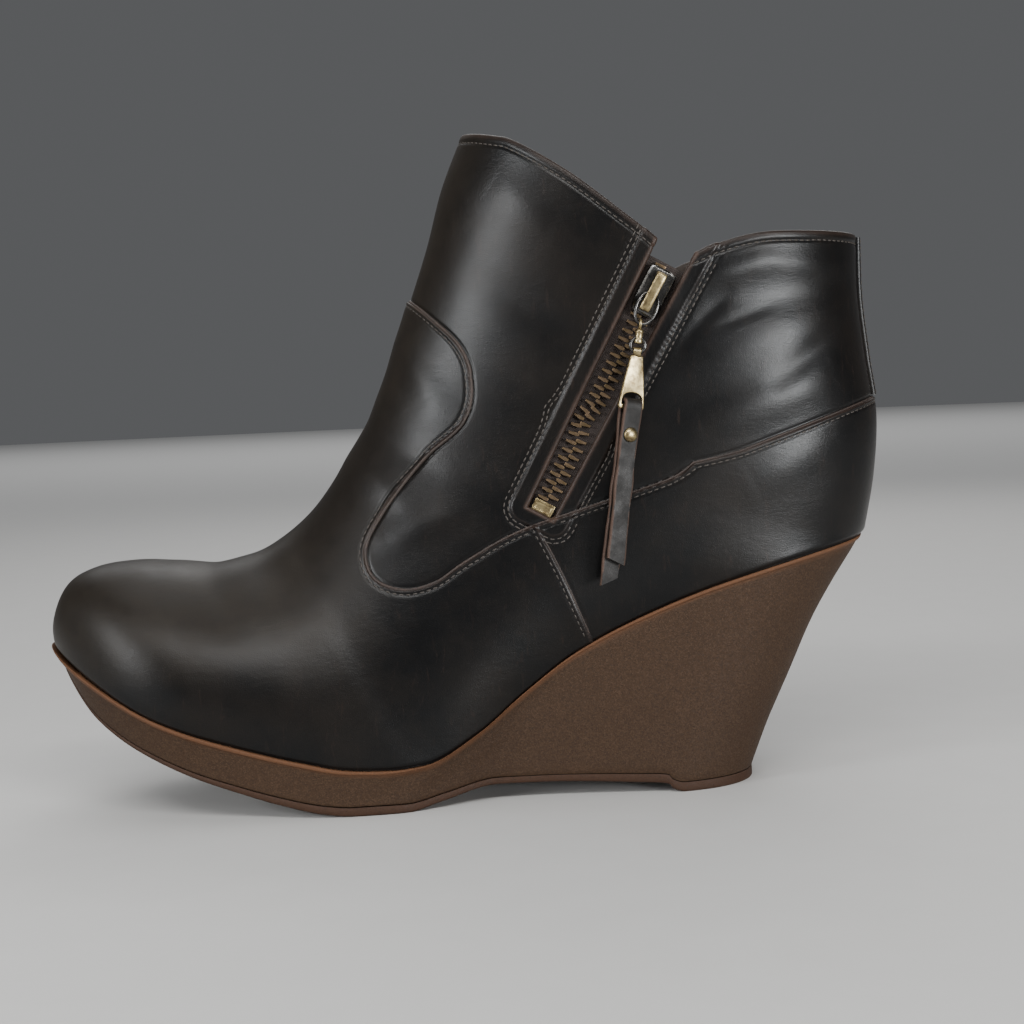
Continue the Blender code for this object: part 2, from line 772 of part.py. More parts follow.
def make_upper(mat):
    upper = upper_form("upper", 0.0, 0.0, mat, hidden=False)
    panel = upper_form("panel_form", PANEL_STEP, -GAP)
    below_edge = region("panel_region", through(above_feather(PANEL_EDGE), 90), up=False)
    boolean(panel, below_edge, "INTERSECT")
    boolean(upper, panel, "UNION")
    hollow = upper_form("inside_form", -WALL, 3 * WALL)
    boolean(upper, hollow, "DIFFERENCE")
    over_collar = region("collar_region", along(COLLAR_LINE, np.linspace(0, 1, 60)), up=True)
    boolean(upper, over_collar, "DIFFERENCE")
    reach = ZIP_SLOT_LENGTH * 1.3
    ends = [(0.0, -1), (reach, -1), (reach, 1), (0.0, 1)]
    slot = [zip_side_point(a, side * float(slot_half_width(a))) for a, side in ends]
    opening = prism("slot_form", slot, -LENGTH, Y_SHIFT)
    boolean(upper, opening, "DIFFERENCE")
    return upper


def sole_rings(shares, low_line, top_line, low_width, top_width, left, right):
    u, v = shares
    side = patch(low_line, top_line, left, right, u, v)
    widths = [(1 - v) * low_width(u, s) + v * top_width(u, s) for s in (-1, 1)]
    return side, widths


def sole_line(height, u):
    """Side-view line under the sole at a height function, from toe tip to the heel's base."""
    x = TREAD[0][1] * LENGTH + np.asarray(u, float) * (HEEL_BASE_END - TREAD[0][1] * LENGTH)
    return np.stack([x, height(x)], axis=-1)


def base_at(u, side):
    return base_width(sole_line(tread_height, u)[..., 0], side)


def top_at(u, side):
    x = feather_line(u)[..., 0]
    return plan_width(x, side) + SOLE_EDGE * rounded(np.abs(2 * u - 1), 8)


def straight(start, end):
    return lambda t: start + np.asarray(t, float)[..., None] * (end - start)


def wedge_back(t):
    start = sole_line(parting_height, 1.0)
    end = feather_line(1.0)
    line = through(np.column_stack([column(WEDGE_BACK, 1), column(WEDGE_BACK, 2)]))
    return start + along(line, t) * (end - start)


def make_wedge(mat):
    u = sole_shares()
    heights = feather_line(u)[:, 1] - sole_line(parting_height, u)[:, 1]
    rim = np.clip(RIM / heights, 0.02, 0.45)
    rows = [np.zeros_like(u)]
    rows += [(1 - rim) * share for share in (0.05, 0.5, 0.99)]
    rows += [1 - rim, 1 - rim, np.ones_like(u)]
    v = np.array(rows)
    grid = np.broadcast_to(u, v.shape)
    lip = np.zeros_like(v)
    lip[-2:] = RIM_LIP
    lip[0] = -RIM_LIP
    left = straight(sole_line(parting_height, 0.0), feather_line(0.0))
    low = lambda t: sole_line(parting_height, t)
    side, widths = sole_rings((grid, v), low, feather_line, base_at, top_at, left, wedge_back)
    widths = [wide * (1 + lip / BALL_INNER) for wide in widths]
    side = side.copy()
    side[..., 0] += np.maximum(lip, 0) * (2 * grid - 1) ** 3
    for wide in widths:
        wide[:, 0] = 0.0
        wide[:, -1] = 0.0
    points = ring(side, widths)
    points[0, :, 2] = parting_height(np.minimum(points[0, :, 0], HEEL_BASE_END))
    points[-1, :, 2] = feather_height(points[-1, :, 0])
    return filled("wedge_midsole", points, mat)


def make_outsole(mat):
    u = sole_shares()
    v = np.array([np.zeros_like(u), np.full_like(u, 0.25), np.ones_like(u)])
    grid = np.broadcast_to(u, v.shape)
    lip = np.array([-RIM_LIP, 0.0, 0.0])[:, None] * np.ones_like(v)
    low = sole_line(tread_height, grid)
    high = sole_line(parting_height, grid)
    side = low + (high - low) * v[..., None]
    widths = [base_at(grid, s) * (1 + lip / BALL_INNER) for s in (-1, 1)]
    for wide in widths:
        wide[:, 0] = 0.0
        wide[:, -1] = 0.0
    points = ring(side, widths)
    points[-1, :, 2] -= GAP
    return filled("outsole", points, mat)


def make_insole(mat):
    """Flat board on the sole's top, its outline inside the upper's wall."""
    inset = WALL + INSOLE_ROOM
    x = np.clip(feather_line(sole_shares())[:, 0], TOE_X + inset, SEAT_X - inset)
    grid = np.broadcast_to(x, (2, len(x)))
    rise = np.array([[GAP], [GAP + INSOLE]])
    side = np.stack([grid, feather_height(grid) + rise], axis=-1)
    outline_x = TOE_X + (grid - TOE_X - inset) * (SEAT_X - TOE_X) / (SEAT_X - TOE_X - 2 * inset)
    widths = [plan_width(outline_x, s) * (1 - inset / BALL_INNER) for s in (-1, 1)]
    return filled("insole", ring(side, widths), mat)


def make_backstay(mat):
    """Raised strip on the back seam, from the collar down to the counter's edge."""
    edge = through(above_feather(PANEL_EDGE), 200)
    edge_z = float(np.interp(BACK_LINE[-1][0], edge[:, 0], edge[:, 1])) + 4 * PANEL_STEP
    heights = np.linspace(edge_z, BACK_LINE[-1][1] - GAP, 7)
    shares = np.interp(heights, BACK_LINE[:, 1], np.linspace(0, 1, len(BACK_LINE)))
    across = np.array([-1, -0.9, -0.5, 0, 0.5, 0.9, 1])
    under = []
    over = []
    for v in shares:
        rings = back_row(v, across)
        out = rings[1]
        under.append(rings[0] + out * GAP)
        over.append(rings[0] + out * (GAP + BACKSTAY * (1 - 0.35 * np.abs(across[:, None]) ** 6)))
    return grid_block("backstay", np.array(under), np.array(over), mat)


def back_row(v, across):
    """Surface points and normals across the back seam at a share of its height."""
    half = BACKSTAY_WIDTH / 2
    low = np.full(120, 1 + v)
    r = np.linspace(0, 0.45, 120) ** 2
    lower, front, _ = fan_ends(fan_place(low))
    flat = lower + r[:, None] * (front - lower)
    rows = []
    for side in (-1, 1):
        wide = half_width(flat[:, 0], flat[:, 1], side)
        wide[0] = 0.0
        middle = centre(flat[:, 0]) + Y_SHIFT
        rows.append(np.column_stack([flat[:, 0], middle + side * wide, flat[:, 1] + GAP]))
    line = np.vstack([rows[0][::-1], rows[1][1:]])
    run = np.concatenate([[0], np.cumsum(np.linalg.norm(np.diff(line, axis=0), axis=1))])
    run -= run[len(r) - 1]
    points = np.stack([np.interp(across * half, run, line[:, k]) for k in range(3)], axis=-1)
    tangent = np.gradient(points, axis=0)
    normal = np.cross(tangent, (0.0, 0.0, 1.0))
    normal[:, 2] = 0.0
    return points, normal / np.linalg.norm(normal, axis=1, keepdims=True)


def make_zip_tape(mat):
    top = ZIP_SLOT_LENGTH * 0.985
    a = np.linspace(-TAPE_LAP, top, 10)
    half = ZIP_SLOT_HIGH / 2 + TAPE_LAP
    b = np.linspace(-half, half, 5)
    return zip_block("zip_tape", a, b, -WALL - TAPE_ROOM - TAPE, -WALL - TAPE_ROOM, mat)


def chain_floor():
    """Underside of the chain, over the tape."""
    return -WALL - TAPE_ROOM + GAP


def make_zip_teeth(mat):
    """The closed chain, its teeth as steps at the tooth pitch."""
    start = STOP_LENGTH + 4 * GAP
    end = ZIP_SLOT_LENGTH * 0.97
    count = int((end - start) / TOOTH_PITCH)
    shares = np.array([0.0, 0.08, 0.55, 0.63])
    a = start + (np.arange(count)[:, None] + shares).ravel() * TOOTH_PITCH
    drop = np.tile([TOOTH_STEP, 0.0, 0.0, TOOTH_STEP], count)
    b = np.array([-CHAIN_WIDTH / 2, CHAIN_WIDTH / 2])
    aa, bb = np.meshgrid(a, b, indexing="ij")
    under = on_zip(aa, bb, np.full_like(aa, chain_floor()))
    over = on_zip(aa, bb, (chain_floor() + CHAIN - drop)[:, None] * np.ones_like(aa))
    return grid_block("zip_teeth", under, over, mat)


def make_bottom_stop(mat):
    a = np.linspace(2 * GAP, 2 * GAP + STOP_LENGTH, 3)
    b = np.linspace(-STOP_WIDTH / 2, STOP_WIDTH / 2, 5)
    low = chain_floor()
    return zip_block("zip_bottom_stop", a, b, low, low + CHAIN + TOOTH_STEP, mat)


def slider_centre():
    return SLIDER_PLACE * ZIP_SLOT_LENGTH


def slider_half_width(share):
    """Half the slider's width at a share of its length; the lower end is narrower."""
    return SLIDER_WIDTH / 2 * (1 - 0.30 * np.clip(-2 * share - 0.35, 0, 1) ** 1.5)


def make_slider(mat):
    """Plate over the chain, its two flanges, and the bridge that the link goes through."""
    mid = slider_centre()
    roof = chain_floor() + CHAIN + PLAY
    shares = np.linspace(-0.5, 0.5, 7)
    cols = np.array([-1.0, -0.85, 0.85, 1.0])
    aa = (mid + shares * SLIDER_LENGTH)[:, None] * np.ones(len(cols))
    bb = slider_half_width(shares)[:, None] * cols
    dome = SLIDER * (1 - 0.30 * np.abs(cols) ** 8)
    body = grid_block(
        "zip_slider",
        on_zip(aa, bb, np.full_like(aa, roof)),
        on_zip(aa, bb, roof + np.broadcast_to(dome, aa.shape)),
        mat,
    )
    inner = (CHAIN_WIDTH / 2 + PLAY) / (SLIDER_WIDTH / 2)
    shares = np.linspace(-0.15, 0.47, 4)
    for name, side in (("flange_front", -1), ("flange_back", 1)):
        strip = np.array([inner, 0.96]) * side
        edge = (mid + shares * SLIDER_LENGTH)[:, None] * np.ones(2)
        width = SLIDER_WIDTH / 2 * strip * np.ones_like(edge)
        floor = np.full_like(edge, chain_floor() + GAP)
        ceiling = np.full_like(edge, roof + SLIDER * 0.4)
        flange = grid_block(
            name, on_zip(edge, width, floor), on_zip(edge, width, ceiling), None, hidden=True
        )
        boolean(body, flange, "UNION")
    bridge = bridge_block(roof + SLIDER)
    boolean(body, bridge, "UNION")
    return body


def bridge_block(base):
    """Arch of the bridge: a bar on two feet, bent over the slider."""
    mid = slider_centre()
    shares = np.array([-0.5, -0.44, -0.34, -0.26, 0.0, 0.26, 0.34, 0.44, 0.5])
    under = np.array([-0.6, -0.6, -0.6, 1.0, 1.0, 1.0, -0.6, -0.6, -0.6])
    over = np.array([0.25, 0.75, 0.98, 1.0, 1.0, 1.0, 0.98, 0.75, 0.25])
    a = mid + shares * BRIDGE_LENGTH
    b = np.array([-0.5, -0.3, 0.3, 0.5]) * BRIDGE_WIDTH
    aa, bb = np.meshgrid(a, b, indexing="ij")
    round_off = np.array([0.25, 0.0, 0.0, 0.25]) * BRIDGE_BAR
    low = base + np.where(under > 0, BRIDGE_ROOM, -SLIDER * 0.5)
    tall = base + over * (BRIDGE_ROOM + BRIDGE_BAR)
    return grid_block(
        "bridge_form",
        on_zip(aa, bb, low[:, None] * np.ones_like(aa)),
        on_zip(aa, bb, tall[:, None] - round_off[None, :]),
        None,
        hidden=True,
    )


def bridge_axis():
    """Where the link turns: under the bridge's bar."""
    base = chain_floor() + CHAIN + PLAY + SLIDER
    a = slider_centre() - 0.5 * BRIDGE_LENGTH * BRIDGE_PLACE
    point = on_zip(np.array([a]), np.array([0.0]), np.array([base + BRIDGE_ROOM / 2]))[0]
    return Vector(point)


def lean_frame(origin, lean, out):
    """Frame that hangs from origin: X across, Y into the boot, -Z down along the lean."""
    tip = Matrix.Rotation(lean, 4, "Y")
    return Matrix.Translation(origin) @ tip @ Matrix.Rotation(out, 4, "X")


def empty(name, frame, parent=None):
    obj = bpy.data.objects.new(name, None)
    bpy.context.scene.collection.objects.link(obj)
    obj.matrix_world = frame
    if parent is not None:
        obj.parent = parent
        obj.matrix_parent_inverse = parent.matrix_world.inverted()
    return obj


def hang(obj, frame, holder):
    """Places a piece that was modelled in a hanging frame, and parents it to its axis."""
    obj.data.transform(holder.matrix_world.inverted() @ frame)
    obj.parent = holder
    return obj


def wire_loop(name, path, width, mat, sides=6, hidden=False):
    """Closed round wire along a flat or bent path."""
    path = np.asarray(path, float)
    count = len(path)
    tangent = np.roll(path, -1, axis=0) - np.roll(path, 1, axis=0)
    tangent /= np.linalg.norm(tangent, axis=1, keepdims=True)
    flat = np.cross(path[1] - path[0], path[count // 3] - path[0])
    flat = flat / np.linalg.norm(flat)
    side = np.cross(tangent, flat)
    angles = 2 * np.pi * np.arange(sides) / sides
    rings = (
        path[:, None, :]
        + width / 2 * np.cos(angles)[None, :, None] * side[:, None, :]
        + width / 2 * np.sin(angles)[None, :, None] * flat[None, None, :]
    )
    faces = []
    for i in range(count):
        for j in range(sides):
            k = (i + 1) % count
            m = (j + 1) % sides
            faces.append((i * sides + j, k * sides + j, k * sides + m, i * sides + m))
    return mesh_object(name, rings.reshape(-1, 3), faces, mat, hidden, smooth=60)


def loop_path(width, top, bottom, round_top, count=20):
    """Loop in the XZ plane, from z = top down to z = bottom, flatter at the top if round_top < 1."""
    angles = 2 * np.pi * np.arange(count) / count
    x = np.sin(angles)
    z = np.cos(angles)
    x = np.where(z > 0, np.sign(x) * np.abs(x) ** round_top, x)
    middle = (top + bottom) / 2
    half = (top - bottom) / 2
    return np.column_stack([x * width / 2, np.zeros(count), middle + z * half])


def solid_box(name, low, high, mat, hidden=False):
    corners = [(x, y, z) for x in (low[0], high[0]) for y in (low[1], high[1])
               for z in (low[2], high[2])]
    faces = [(0, 1, 3, 2), (4, 6, 7, 5), (0, 4, 5, 1), (2, 3, 7, 6), (0, 2, 6, 4), (1, 5, 7, 3)]
    return mesh_object(name, corners, faces, mat, hidden)


def turned(name, profile, mat, sides=14, hidden=False):
    """Solid turned about Z through (radius, z) pairs from the bottom up."""
    angles = 2 * np.pi * np.arange(sides) / sides
    points = [(r * math.cos(t), r * math.sin(t), z) for r, z in profile for t in angles]
    faces = side_faces(len(profile), sides)
    faces.append(tuple(range(sides))[::-1])
    faces.append(tuple(range((len(profile) - 1) * sides, len(profile) * sides)))
    return mesh_object(name, points, faces, mat, hidden)


def make_link(metal, frame, holder):
    path = loop_path(LINK_WIDTH - WIRE, 0.0, -LINK_LENGTH + WIRE, LINK_FLAT)
    return hang(wire_loop("pull_link", path, WIRE, metal), frame, holder)


def eye_reach():
    """Distance between the centres of two wires where an eye hangs in a loop."""
    return WIRE + GAP


def make_swivel(metal, frame, holder):
    """Small barrel with an eye above, around the link, and a cross hole for the ring below."""
    radius = SWIVEL_WIDTH / 2
    reach = eye_reach()
    top = -reach - WIRE * 0.3
    low = top - SWIVEL_LENGTH
    profile = (
        (radius * 0.75, low),
        (radius, low + radius * 0.25),
        (radius, top - radius * 0.3),
        (radius * 0.7, top),
    )
    barrel = turned("pull_swivel", profile, metal)
    angles = 2 * np.pi * np.arange(14) / 14
    eye_path = np.column_stack(
        [np.zeros(14), reach * np.sin(angles), reach * np.cos(angles)]
    )
    eye = wire_loop("swivel_eye", eye_path, WIRE, None, hidden=True)
    boolean(barrel, eye, "UNION")
    sag = ring_sag(radius)
    reach_y = WIRE / 2 + GAP
    reach_z = reach_y + sag / 2
    hole = turned("swivel_hole", ((reach_y, -radius * 2), (reach_y, radius * 2)), None, 10, True)
    tall = Matrix.Diagonal((1, 1, reach_z / reach_y, 1))
    place = Matrix.Translation((0, 0, swivel_hole() - sag / 2))
    hole.data.transform(place @ tall @ Matrix.Rotation(math.pi / 2, 4, "Y"))
    boolean(barrel, hole, "DIFFERENCE")
    for obj in (barrel, eye, hole):
        hang(obj, frame, holder)
    return barrel


def ring_sag(reach):
    """How far the ring's wire drops from its top at a distance to the side."""
    radius = (RING_WIDTH - WIRE) / 2
    return radius - math.sqrt(radius**2 - min(reach, radius * 0.98) ** 2)


def swivel_hole():
    """Height of the ring's top, in the cross hole near the barrel's lower end."""
    low = -eye_reach() - WIRE * 0.3 - SWIVEL_LENGTH
    return low + WIRE * 0.45 + GAP + WIRE / 2 + ring_sag(SWIVEL_WIDTH / 2)


def ring_bottom():
    return swivel_hole() - (RING_WIDTH - WIRE)


def make_ring(metal, frame, holder):
    radius = (RING_WIDTH - WIRE) / 2
    path = loop_path(2 * radius, swivel_hole(), ring_bottom(), 1.0, 16)
    return hang(wire_loop("pull_ring", path, WIRE, metal), frame, holder)


def tag_top():
    """Centre of the tag's rolled top, where the ring passes through."""
    return ring_bottom() + ring_sag(TAG_ROLL / 2) / 2


def tag_outline(share):
    """Half-width of the tag at a share of its length."""
    return (TAG_TOP_WIDTH + share * (TAG_LOW_WIDTH - TAG_TOP_WIDTH)) / 2


def make_tag(metal, holder, roll_frame, turned_frame):
    """Flat tag, wider below, rolled at the top around the ring and slotted for the strap."""
    roll = WIRE / 2 + GAP + ring_sag(TAG_ROLL / 2) / 2
    outer = roll + TAG * 0.45
    low = -TAG_LENGTH
    shares = np.array([0.06, 0.30, 0.62, 0.94, 1.0])
    halves = tag_outline(shares)
    halves[-1] -= TAG * 0.5
    z = low * shares
    outline = [(-h, t) for h, t in zip(halves, z)] + [(h, t) for h, t in zip(halves, z)][::-1]
    plate = prism("tag_plate_form", outline, -TAG / 2, TAG / 2)
    slot_low = low + TAG * 1.2
    slot_top = slot_low + TAG_SLOT_HEIGHT
    half = STRAP_WIDTH / 2 + PLAY
    slot = solid_box("tag_slot", (-half, -TAG, slot_low), (half, TAG, slot_top), None, hidden=True)
    tag = turned("pull_tag", ((outer, -TAG_ROLL / 2), (outer, TAG_ROLL / 2)), metal)
    tag.data.transform(Matrix.Rotation(math.pi / 2, 4, "Y"))
    bore = turned("tag_bore", ((roll, -TAG_TOP_WIDTH), (roll, TAG_TOP_WIDTH)), None, 10, True)
    bore.data.transform(Matrix.Rotation(math.pi / 2, 4, "Y"))
    boolean(tag, plate, "UNION")
    boolean(tag, bore, "DIFFERENCE")
    boolean(tag, slot, "DIFFERENCE")
    for obj in (tag, bore):
        hang(obj, roll_frame, holder)
    for obj in (plate, slot):
        hang(obj, turned_frame, holder)
    return tag


def strap_profile():
    """Centre line of the folded strap in its YZ plane: front layer, fold over the tag's bar, back."""
    low = -TAG_LENGTH
    bar = low + TAG * 1.2
    gap = TAG / 2 + PLAY + STRAP / 2
    top = bar + PLAY + STRAP / 2
    front = []
    drop = STRAP_LENGTH
    for share in (1.0, 0.75, 0.5, 0.25, 0.1):
        spread = gap - (gap - STRAP * 0.75) * min(1.0, 4 * share)
        splay = STRAP_SPLAY * share**2
        front.append((-spread - splay * 0.5, bar - drop * share * 0.86))
    arc = [(-gap * math.cos(t), top - STRAP * 0.2 + gap * 0.55 * math.sin(t) - gap * 0.2)
           for t in np.linspace(0, math.pi, 7)]
    back = []
    for share in (0.1, 0.25, 0.5, 0.75, 1.0):
        spread = gap - (gap - STRAP * 0.75) * min(1.0, 4 * share)
        splay = STRAP_SPLAY * share**2
        back.append((spread - splay * 0.1, bar - drop * share))
    return front, arc, back


def make_strap(leather, frame, holder):
    front, arc, back = strap_profile()
    line = through(front + arc + back, 30)
    tangent = np.gradient(line, axis=0)
    tangent /= np.linalg.norm(tangent, axis=1, keepdims=True)
    normal = np.column_stack([-tangent[:, 1], tangent[:, 0]])
    half = STRAP_WIDTH / 2
    layers = []
    for side in (-1, 1):
        edge = line + normal * side * STRAP / 2
        layers.append(np.array([[(x, y, z) for x in (-half, half)] for y, z in edge]))
    strap = grid_block("pull_strap", layers[0], layers[1], leather)
    hole = turned("strap_hole", ((RIVET_WIDTH * 0.22 + GAP, -0.01), (RIVET_WIDTH * 0.22 + GAP, 0.01)),
                  None, 10, True)
    hole.data.transform(Matrix.Translation((0, 0, rivet_height())) @ Matrix.Rotation(math.pi / 2, 4, "X"))
    boolean(strap, hole, "DIFFERENCE")
    for obj in (strap, hole):
        hang(obj, frame, holder)
    return strap


def rivet_height():
    return -TAG_LENGTH - RIVET_DROP


def make_rivet(metal, frame, holder):
    """Round head, shank through both layers of the strap, and a flat washer behind."""
    front, _, back = strap_profile()
    height = rivet_height()
    y_front = float(np.interp(height, [p[1] for p in front], [p[0] for p in front]))
    y_back = float(np.interp(height, [p[1] for p in back][::-1], [p[0] for p in back][::-1]))
    face = y_front - STRAP / 2 - PLAY
    rear = y_back + STRAP / 2 + PLAY
    radius = RIVET_WIDTH / 2
    profile = (
        (radius * 0.8, -rear - 0.0006),
        (radius * 0.8, -rear),
        (radius * 0.4, -rear),
        (radius * 0.4, -face),
        (radius, -face),
        (radius * 0.95, -face + radius * 0.2),
        (radius * 0.7, -face + radius * 0.42),
        (radius * 0.3, -face + radius * 0.55),
    )
    rivet = turned("pull_rivet", profile, metal)
    rivet.data.transform(Matrix.Translation((0, 0, height)) @ Matrix.Rotation(math.pi / 2, 4, "X"))
    return hang(rivet, frame, holder)


def make_pull(dark, brass, leather):
    pivot = bridge_axis()
    link_frame = lean_frame(pivot, LINK_LEAN, LINK_OUT)
    link_axis = empty("link_axis", link_frame)
    make_link(dark, link_frame, link_axis)
    knuckle = link_frame @ Vector((0, 0, -LINK_LENGTH + WIRE))
    frame = lean_frame(knuckle, TAG_LEAN, TAG_OUT)
    tag_axis = empty("tag_axis", frame, link_axis)
    make_swivel(brass, frame, tag_axis)
    make_ring(dark, frame, tag_axis)
    roll_frame = frame @ Matrix.Translation((0, 0, tag_top()))
    turned_frame = roll_frame @ Matrix.Rotation(TAG_TURN, 4, "Z")
    make_tag(brass, tag_axis, roll_frame, turned_frame)
    make_strap(leather, turned_frame, tag_axis)
    make_rivet(brass, turned_frame, tag_axis)


def main():
    clear_scene()
    leather = material("black_leather", (0.018, 0.017, 0.016), 0.42)
    edge = material("strap_leather", (0.030, 0.026, 0.024), 0.60)
    foam = material("brown_foam", (0.140, 0.080, 0.045), 0.75)
    rubber = material("brown_rubber", (0.105, 0.058, 0.034), 0.65)
    lining = material("lining", (0.085, 0.060, 0.045), 0.80)
    tape = material("zip_tape", (0.022, 0.016, 0.013), 0.85)
    brass = material("antique_brass", (0.330, 0.260, 0.130), 0.35, 1.0)
    bronze = material("bronze_teeth", (0.230, 0.150, 0.100), 0.38, 1.0)
    dark = material("dark_metal", (0.030, 0.030, 0.032), 0.30, 1.0)
    make_outsole(rubber)
    make_wedge(foam)
    make_insole(lining)
    make_upper(leather)
    make_backstay(leather)
    make_zip_tape(tape)
    make_zip_teeth(bronze)
    make_bottom_stop(brass)
    make_slider(dark)
    make_pull(dark, brass, edge)


main()
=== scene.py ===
"""Finished leather, sole and zip of a wedge ankle boot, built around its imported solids.

Lengths are in metres. The toe points along -X and the zip side faces -Y.
"""
import math

import bmesh
import bpy
import numpy as np
from bpy.props import FloatProperty, FloatVectorProperty, IntProperty, PointerProperty
from mathutils import Matrix, Quaternion, Vector
from mathutils.bvhtree import BVHTree
from mathutils.kdtree import KDTree


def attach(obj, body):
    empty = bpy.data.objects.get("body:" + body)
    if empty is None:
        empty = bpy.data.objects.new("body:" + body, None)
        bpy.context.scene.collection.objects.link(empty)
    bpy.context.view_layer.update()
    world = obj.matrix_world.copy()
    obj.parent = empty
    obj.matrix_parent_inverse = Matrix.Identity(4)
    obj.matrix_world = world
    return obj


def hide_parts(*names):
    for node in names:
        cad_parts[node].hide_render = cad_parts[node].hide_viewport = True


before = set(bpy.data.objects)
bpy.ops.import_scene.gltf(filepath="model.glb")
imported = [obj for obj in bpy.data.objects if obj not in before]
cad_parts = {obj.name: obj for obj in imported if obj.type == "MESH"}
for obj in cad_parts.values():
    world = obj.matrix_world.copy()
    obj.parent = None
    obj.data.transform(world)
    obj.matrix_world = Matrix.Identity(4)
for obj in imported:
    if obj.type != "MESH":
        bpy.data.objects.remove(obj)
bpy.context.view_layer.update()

bl_info = {
    "name": "Wedge Ankle Boot",
    "version": (1, 0, 0),
    "blender": (4, 5, 0),
    "location": "View3D > Sidebar > Boot",
    "description": "Leather, sole, zip and pull of a wedge ankle boot",
    "category": "Add Mesh",
}

MM = 0.001

# The last, as the solids have it
LENGTH = 0.248
BALL_INNER = 0.0398
BALL_OUTER = 0.0457
PLATFORM = 0.0128
TOE_RISE = 0.0359
HEEL_RISE = 0.0582
FRONT_HEIGHT = 0.170
BACK_HEIGHT = 0.087
COLLAR_WIDTH = 0.069
TOE_ROUND = 0.050
HEEL_ROUND = 0.044
TOE_SWING = 0.005
TOE_TUCK_START = -0.086
TOE_TUCK_RUN = 0.040
TOE_TUCK_UPPER = 0.0030
TOE_TUCK_SOLE = 0.0014
HEEL_BASE_END = 0.0845
HEEL_BASE_WIDTH = 0.052
HEEL_BASE_ROUND = 0.032
TREAD_TOE_RISE = 0.0450
ARCH = 0.0049
OUTSOLE = 0.0026
HEEL_LIFT_STEP = 0.0012
LIFT_EDGE = 0.0008
LIFT_RAMP = 0.0040
RIM = 0.0013
RIM_LIP = 0.0006
SOLE_EDGE = 0.0006
WALL = 0.0020
PANEL_STEP = 0.0009
BACKSTAY_WIDTH = 0.013
BACKSTAY = 0.0012
ZIP_SLANT = math.radians(29.2)
ZIP_SLOT_LOW = 0.0092
ZIP_SLOT_HIGH = 0.0122
ZIP_SLOT_LENGTH = 0.080
TAPE = 0.0005
TAPE_LAP = 0.0045
TAPE_ROOM = 0.0006
CHAIN_WIDTH = 0.0056
CHAIN = 0.0013
TOOTH_PITCH = 0.0025
TOOTH_STEP = 0.0004
STOP_WIDTH = 0.0062
STOP_LENGTH = 0.0035
SLIDER_WIDTH = 0.0084
SLIDER_LENGTH = 0.0140
SLIDER = 0.0012
BRIDGE_WIDTH = 0.0028
BRIDGE_LENGTH = 0.0118
BRIDGE_BAR = 0.0011
BRIDGE_ROOM = 0.0018
WIRE = 0.0009
LINK_LENGTH = 0.0098
LINK_WIDTH = 0.0066
LINK_FLAT = 0.55
SWIVEL_WIDTH = 0.0024
SWIVEL_LENGTH = 0.0040
RING_WIDTH = 0.0050
TAG_LENGTH = 0.0160
TAG_TOP_WIDTH = 0.0034
TAG_LOW_WIDTH = 0.0082
TAG = 0.0011
TAG_SLOT_HEIGHT = 0.0034
TAG_ROLL = 0.0022
STRAP_LENGTH = 0.0510
STRAP_WIDTH = 0.0054
STRAP = 0.0012
STRAP_SPLAY = 0.0020
RIVET_WIDTH = 0.0042
RIVET_DROP = 0.0070
TAG_TURN = math.radians(25)
GAP = 0.0003
PLAY = 0.0004
SLIDER_PLACE = 0.875
BRIDGE_PLACE = 0.12
LINK_LEAN = math.radians(24)
TAG_LEAN = math.radians(9)
LINK_OUT = math.radians(-5)
TAG_OUT = math.radians(-1.5)
ZIP_FOOT_X = 0.093
ZIP_FOOT_HEIGHT = 0.268

# The visible leather: thicknesses, seams and rows of stitches
LEATHER = 1.30 * MM
LINING_DEPTH = 1.35 * MM
LINING = 0.65 * MM
PANEL_ROW = 1.35 * MM
SIDE_ROW = 1.30 * MM
COLLAR_ROW = 2.20 * MM
ZIP_ROWS = (4.7 * MM, 5.9 * MM)
ZIP_BAND = 3.9 * MM
STRIP_ROWS = (-0.72, 0.72)
SEAM_SPACING = 0.35 * MM
CELL_CUTS = 3
WELD = 2e-6

# The pale floor, and the photo's view of the boot
FLOOR_RADIUS = 6.0
VIEW_TARGET = (0.0154, 0.0814)
VIEW_DISTANCE = 0.520
VIEW_TILT = math.radians(4.0)
VIEW_ROLL = math.radians(-2.45)
VIEW_LENS = 60.9

# The line where upper and sole meet
FEATHER = (
    (-0.5, 1, 0), (-0.43, 0.74, 0), (-0.345, 0.445, 0),
    (-0.255, 0.225, 0), (-0.19, 0.1, 0), (-0.13, 0.014, 0),
    (-0.088, 0, 0), (-0.05, 0, 0.012), (0.012, 0, 0.142),
    (0.067, 0, 0.324), (0.127, 0, 0.505), (0.2, 0, 0.66),
    (0.3, 0, 0.818), (0.4, 0, 0.93), (0.48, 0, 1),
)

# The sole's underside
TREAD = (
    (-0.49, 1, 0), (-0.43, 0.64, 0), (-0.345, 0.37, 0),
    (-0.265, 0.19, 0), (-0.205, 0.078, 0), (-0.165, 0.022, 0),
    (-0.13, 0, 0), (-0.07, 0, 0), (-0.03, 0, 0.42),
    (0.03, 0, 1), (0.09, 0, 0.96), (0.195, 0, 0.7),
    (0.232, 0, 0.52),
)

# The front line from toe tip to collar
RIDGE = (
    (-0.5, 0.01), (-0.4965, 0.053), (-0.478, 0.118), (-0.448, 0.163), (-0.395, 0.212),
    (-0.35, 0.24), (-0.292, 0.267), (-0.24, 0.31), (-0.181, 0.392), (-0.129, 0.508),
    (-0.089, 0.62), (-0.052, 0.762), (-0.026, 0.855), (-0.006, 0.935), (0.02, 1),
)

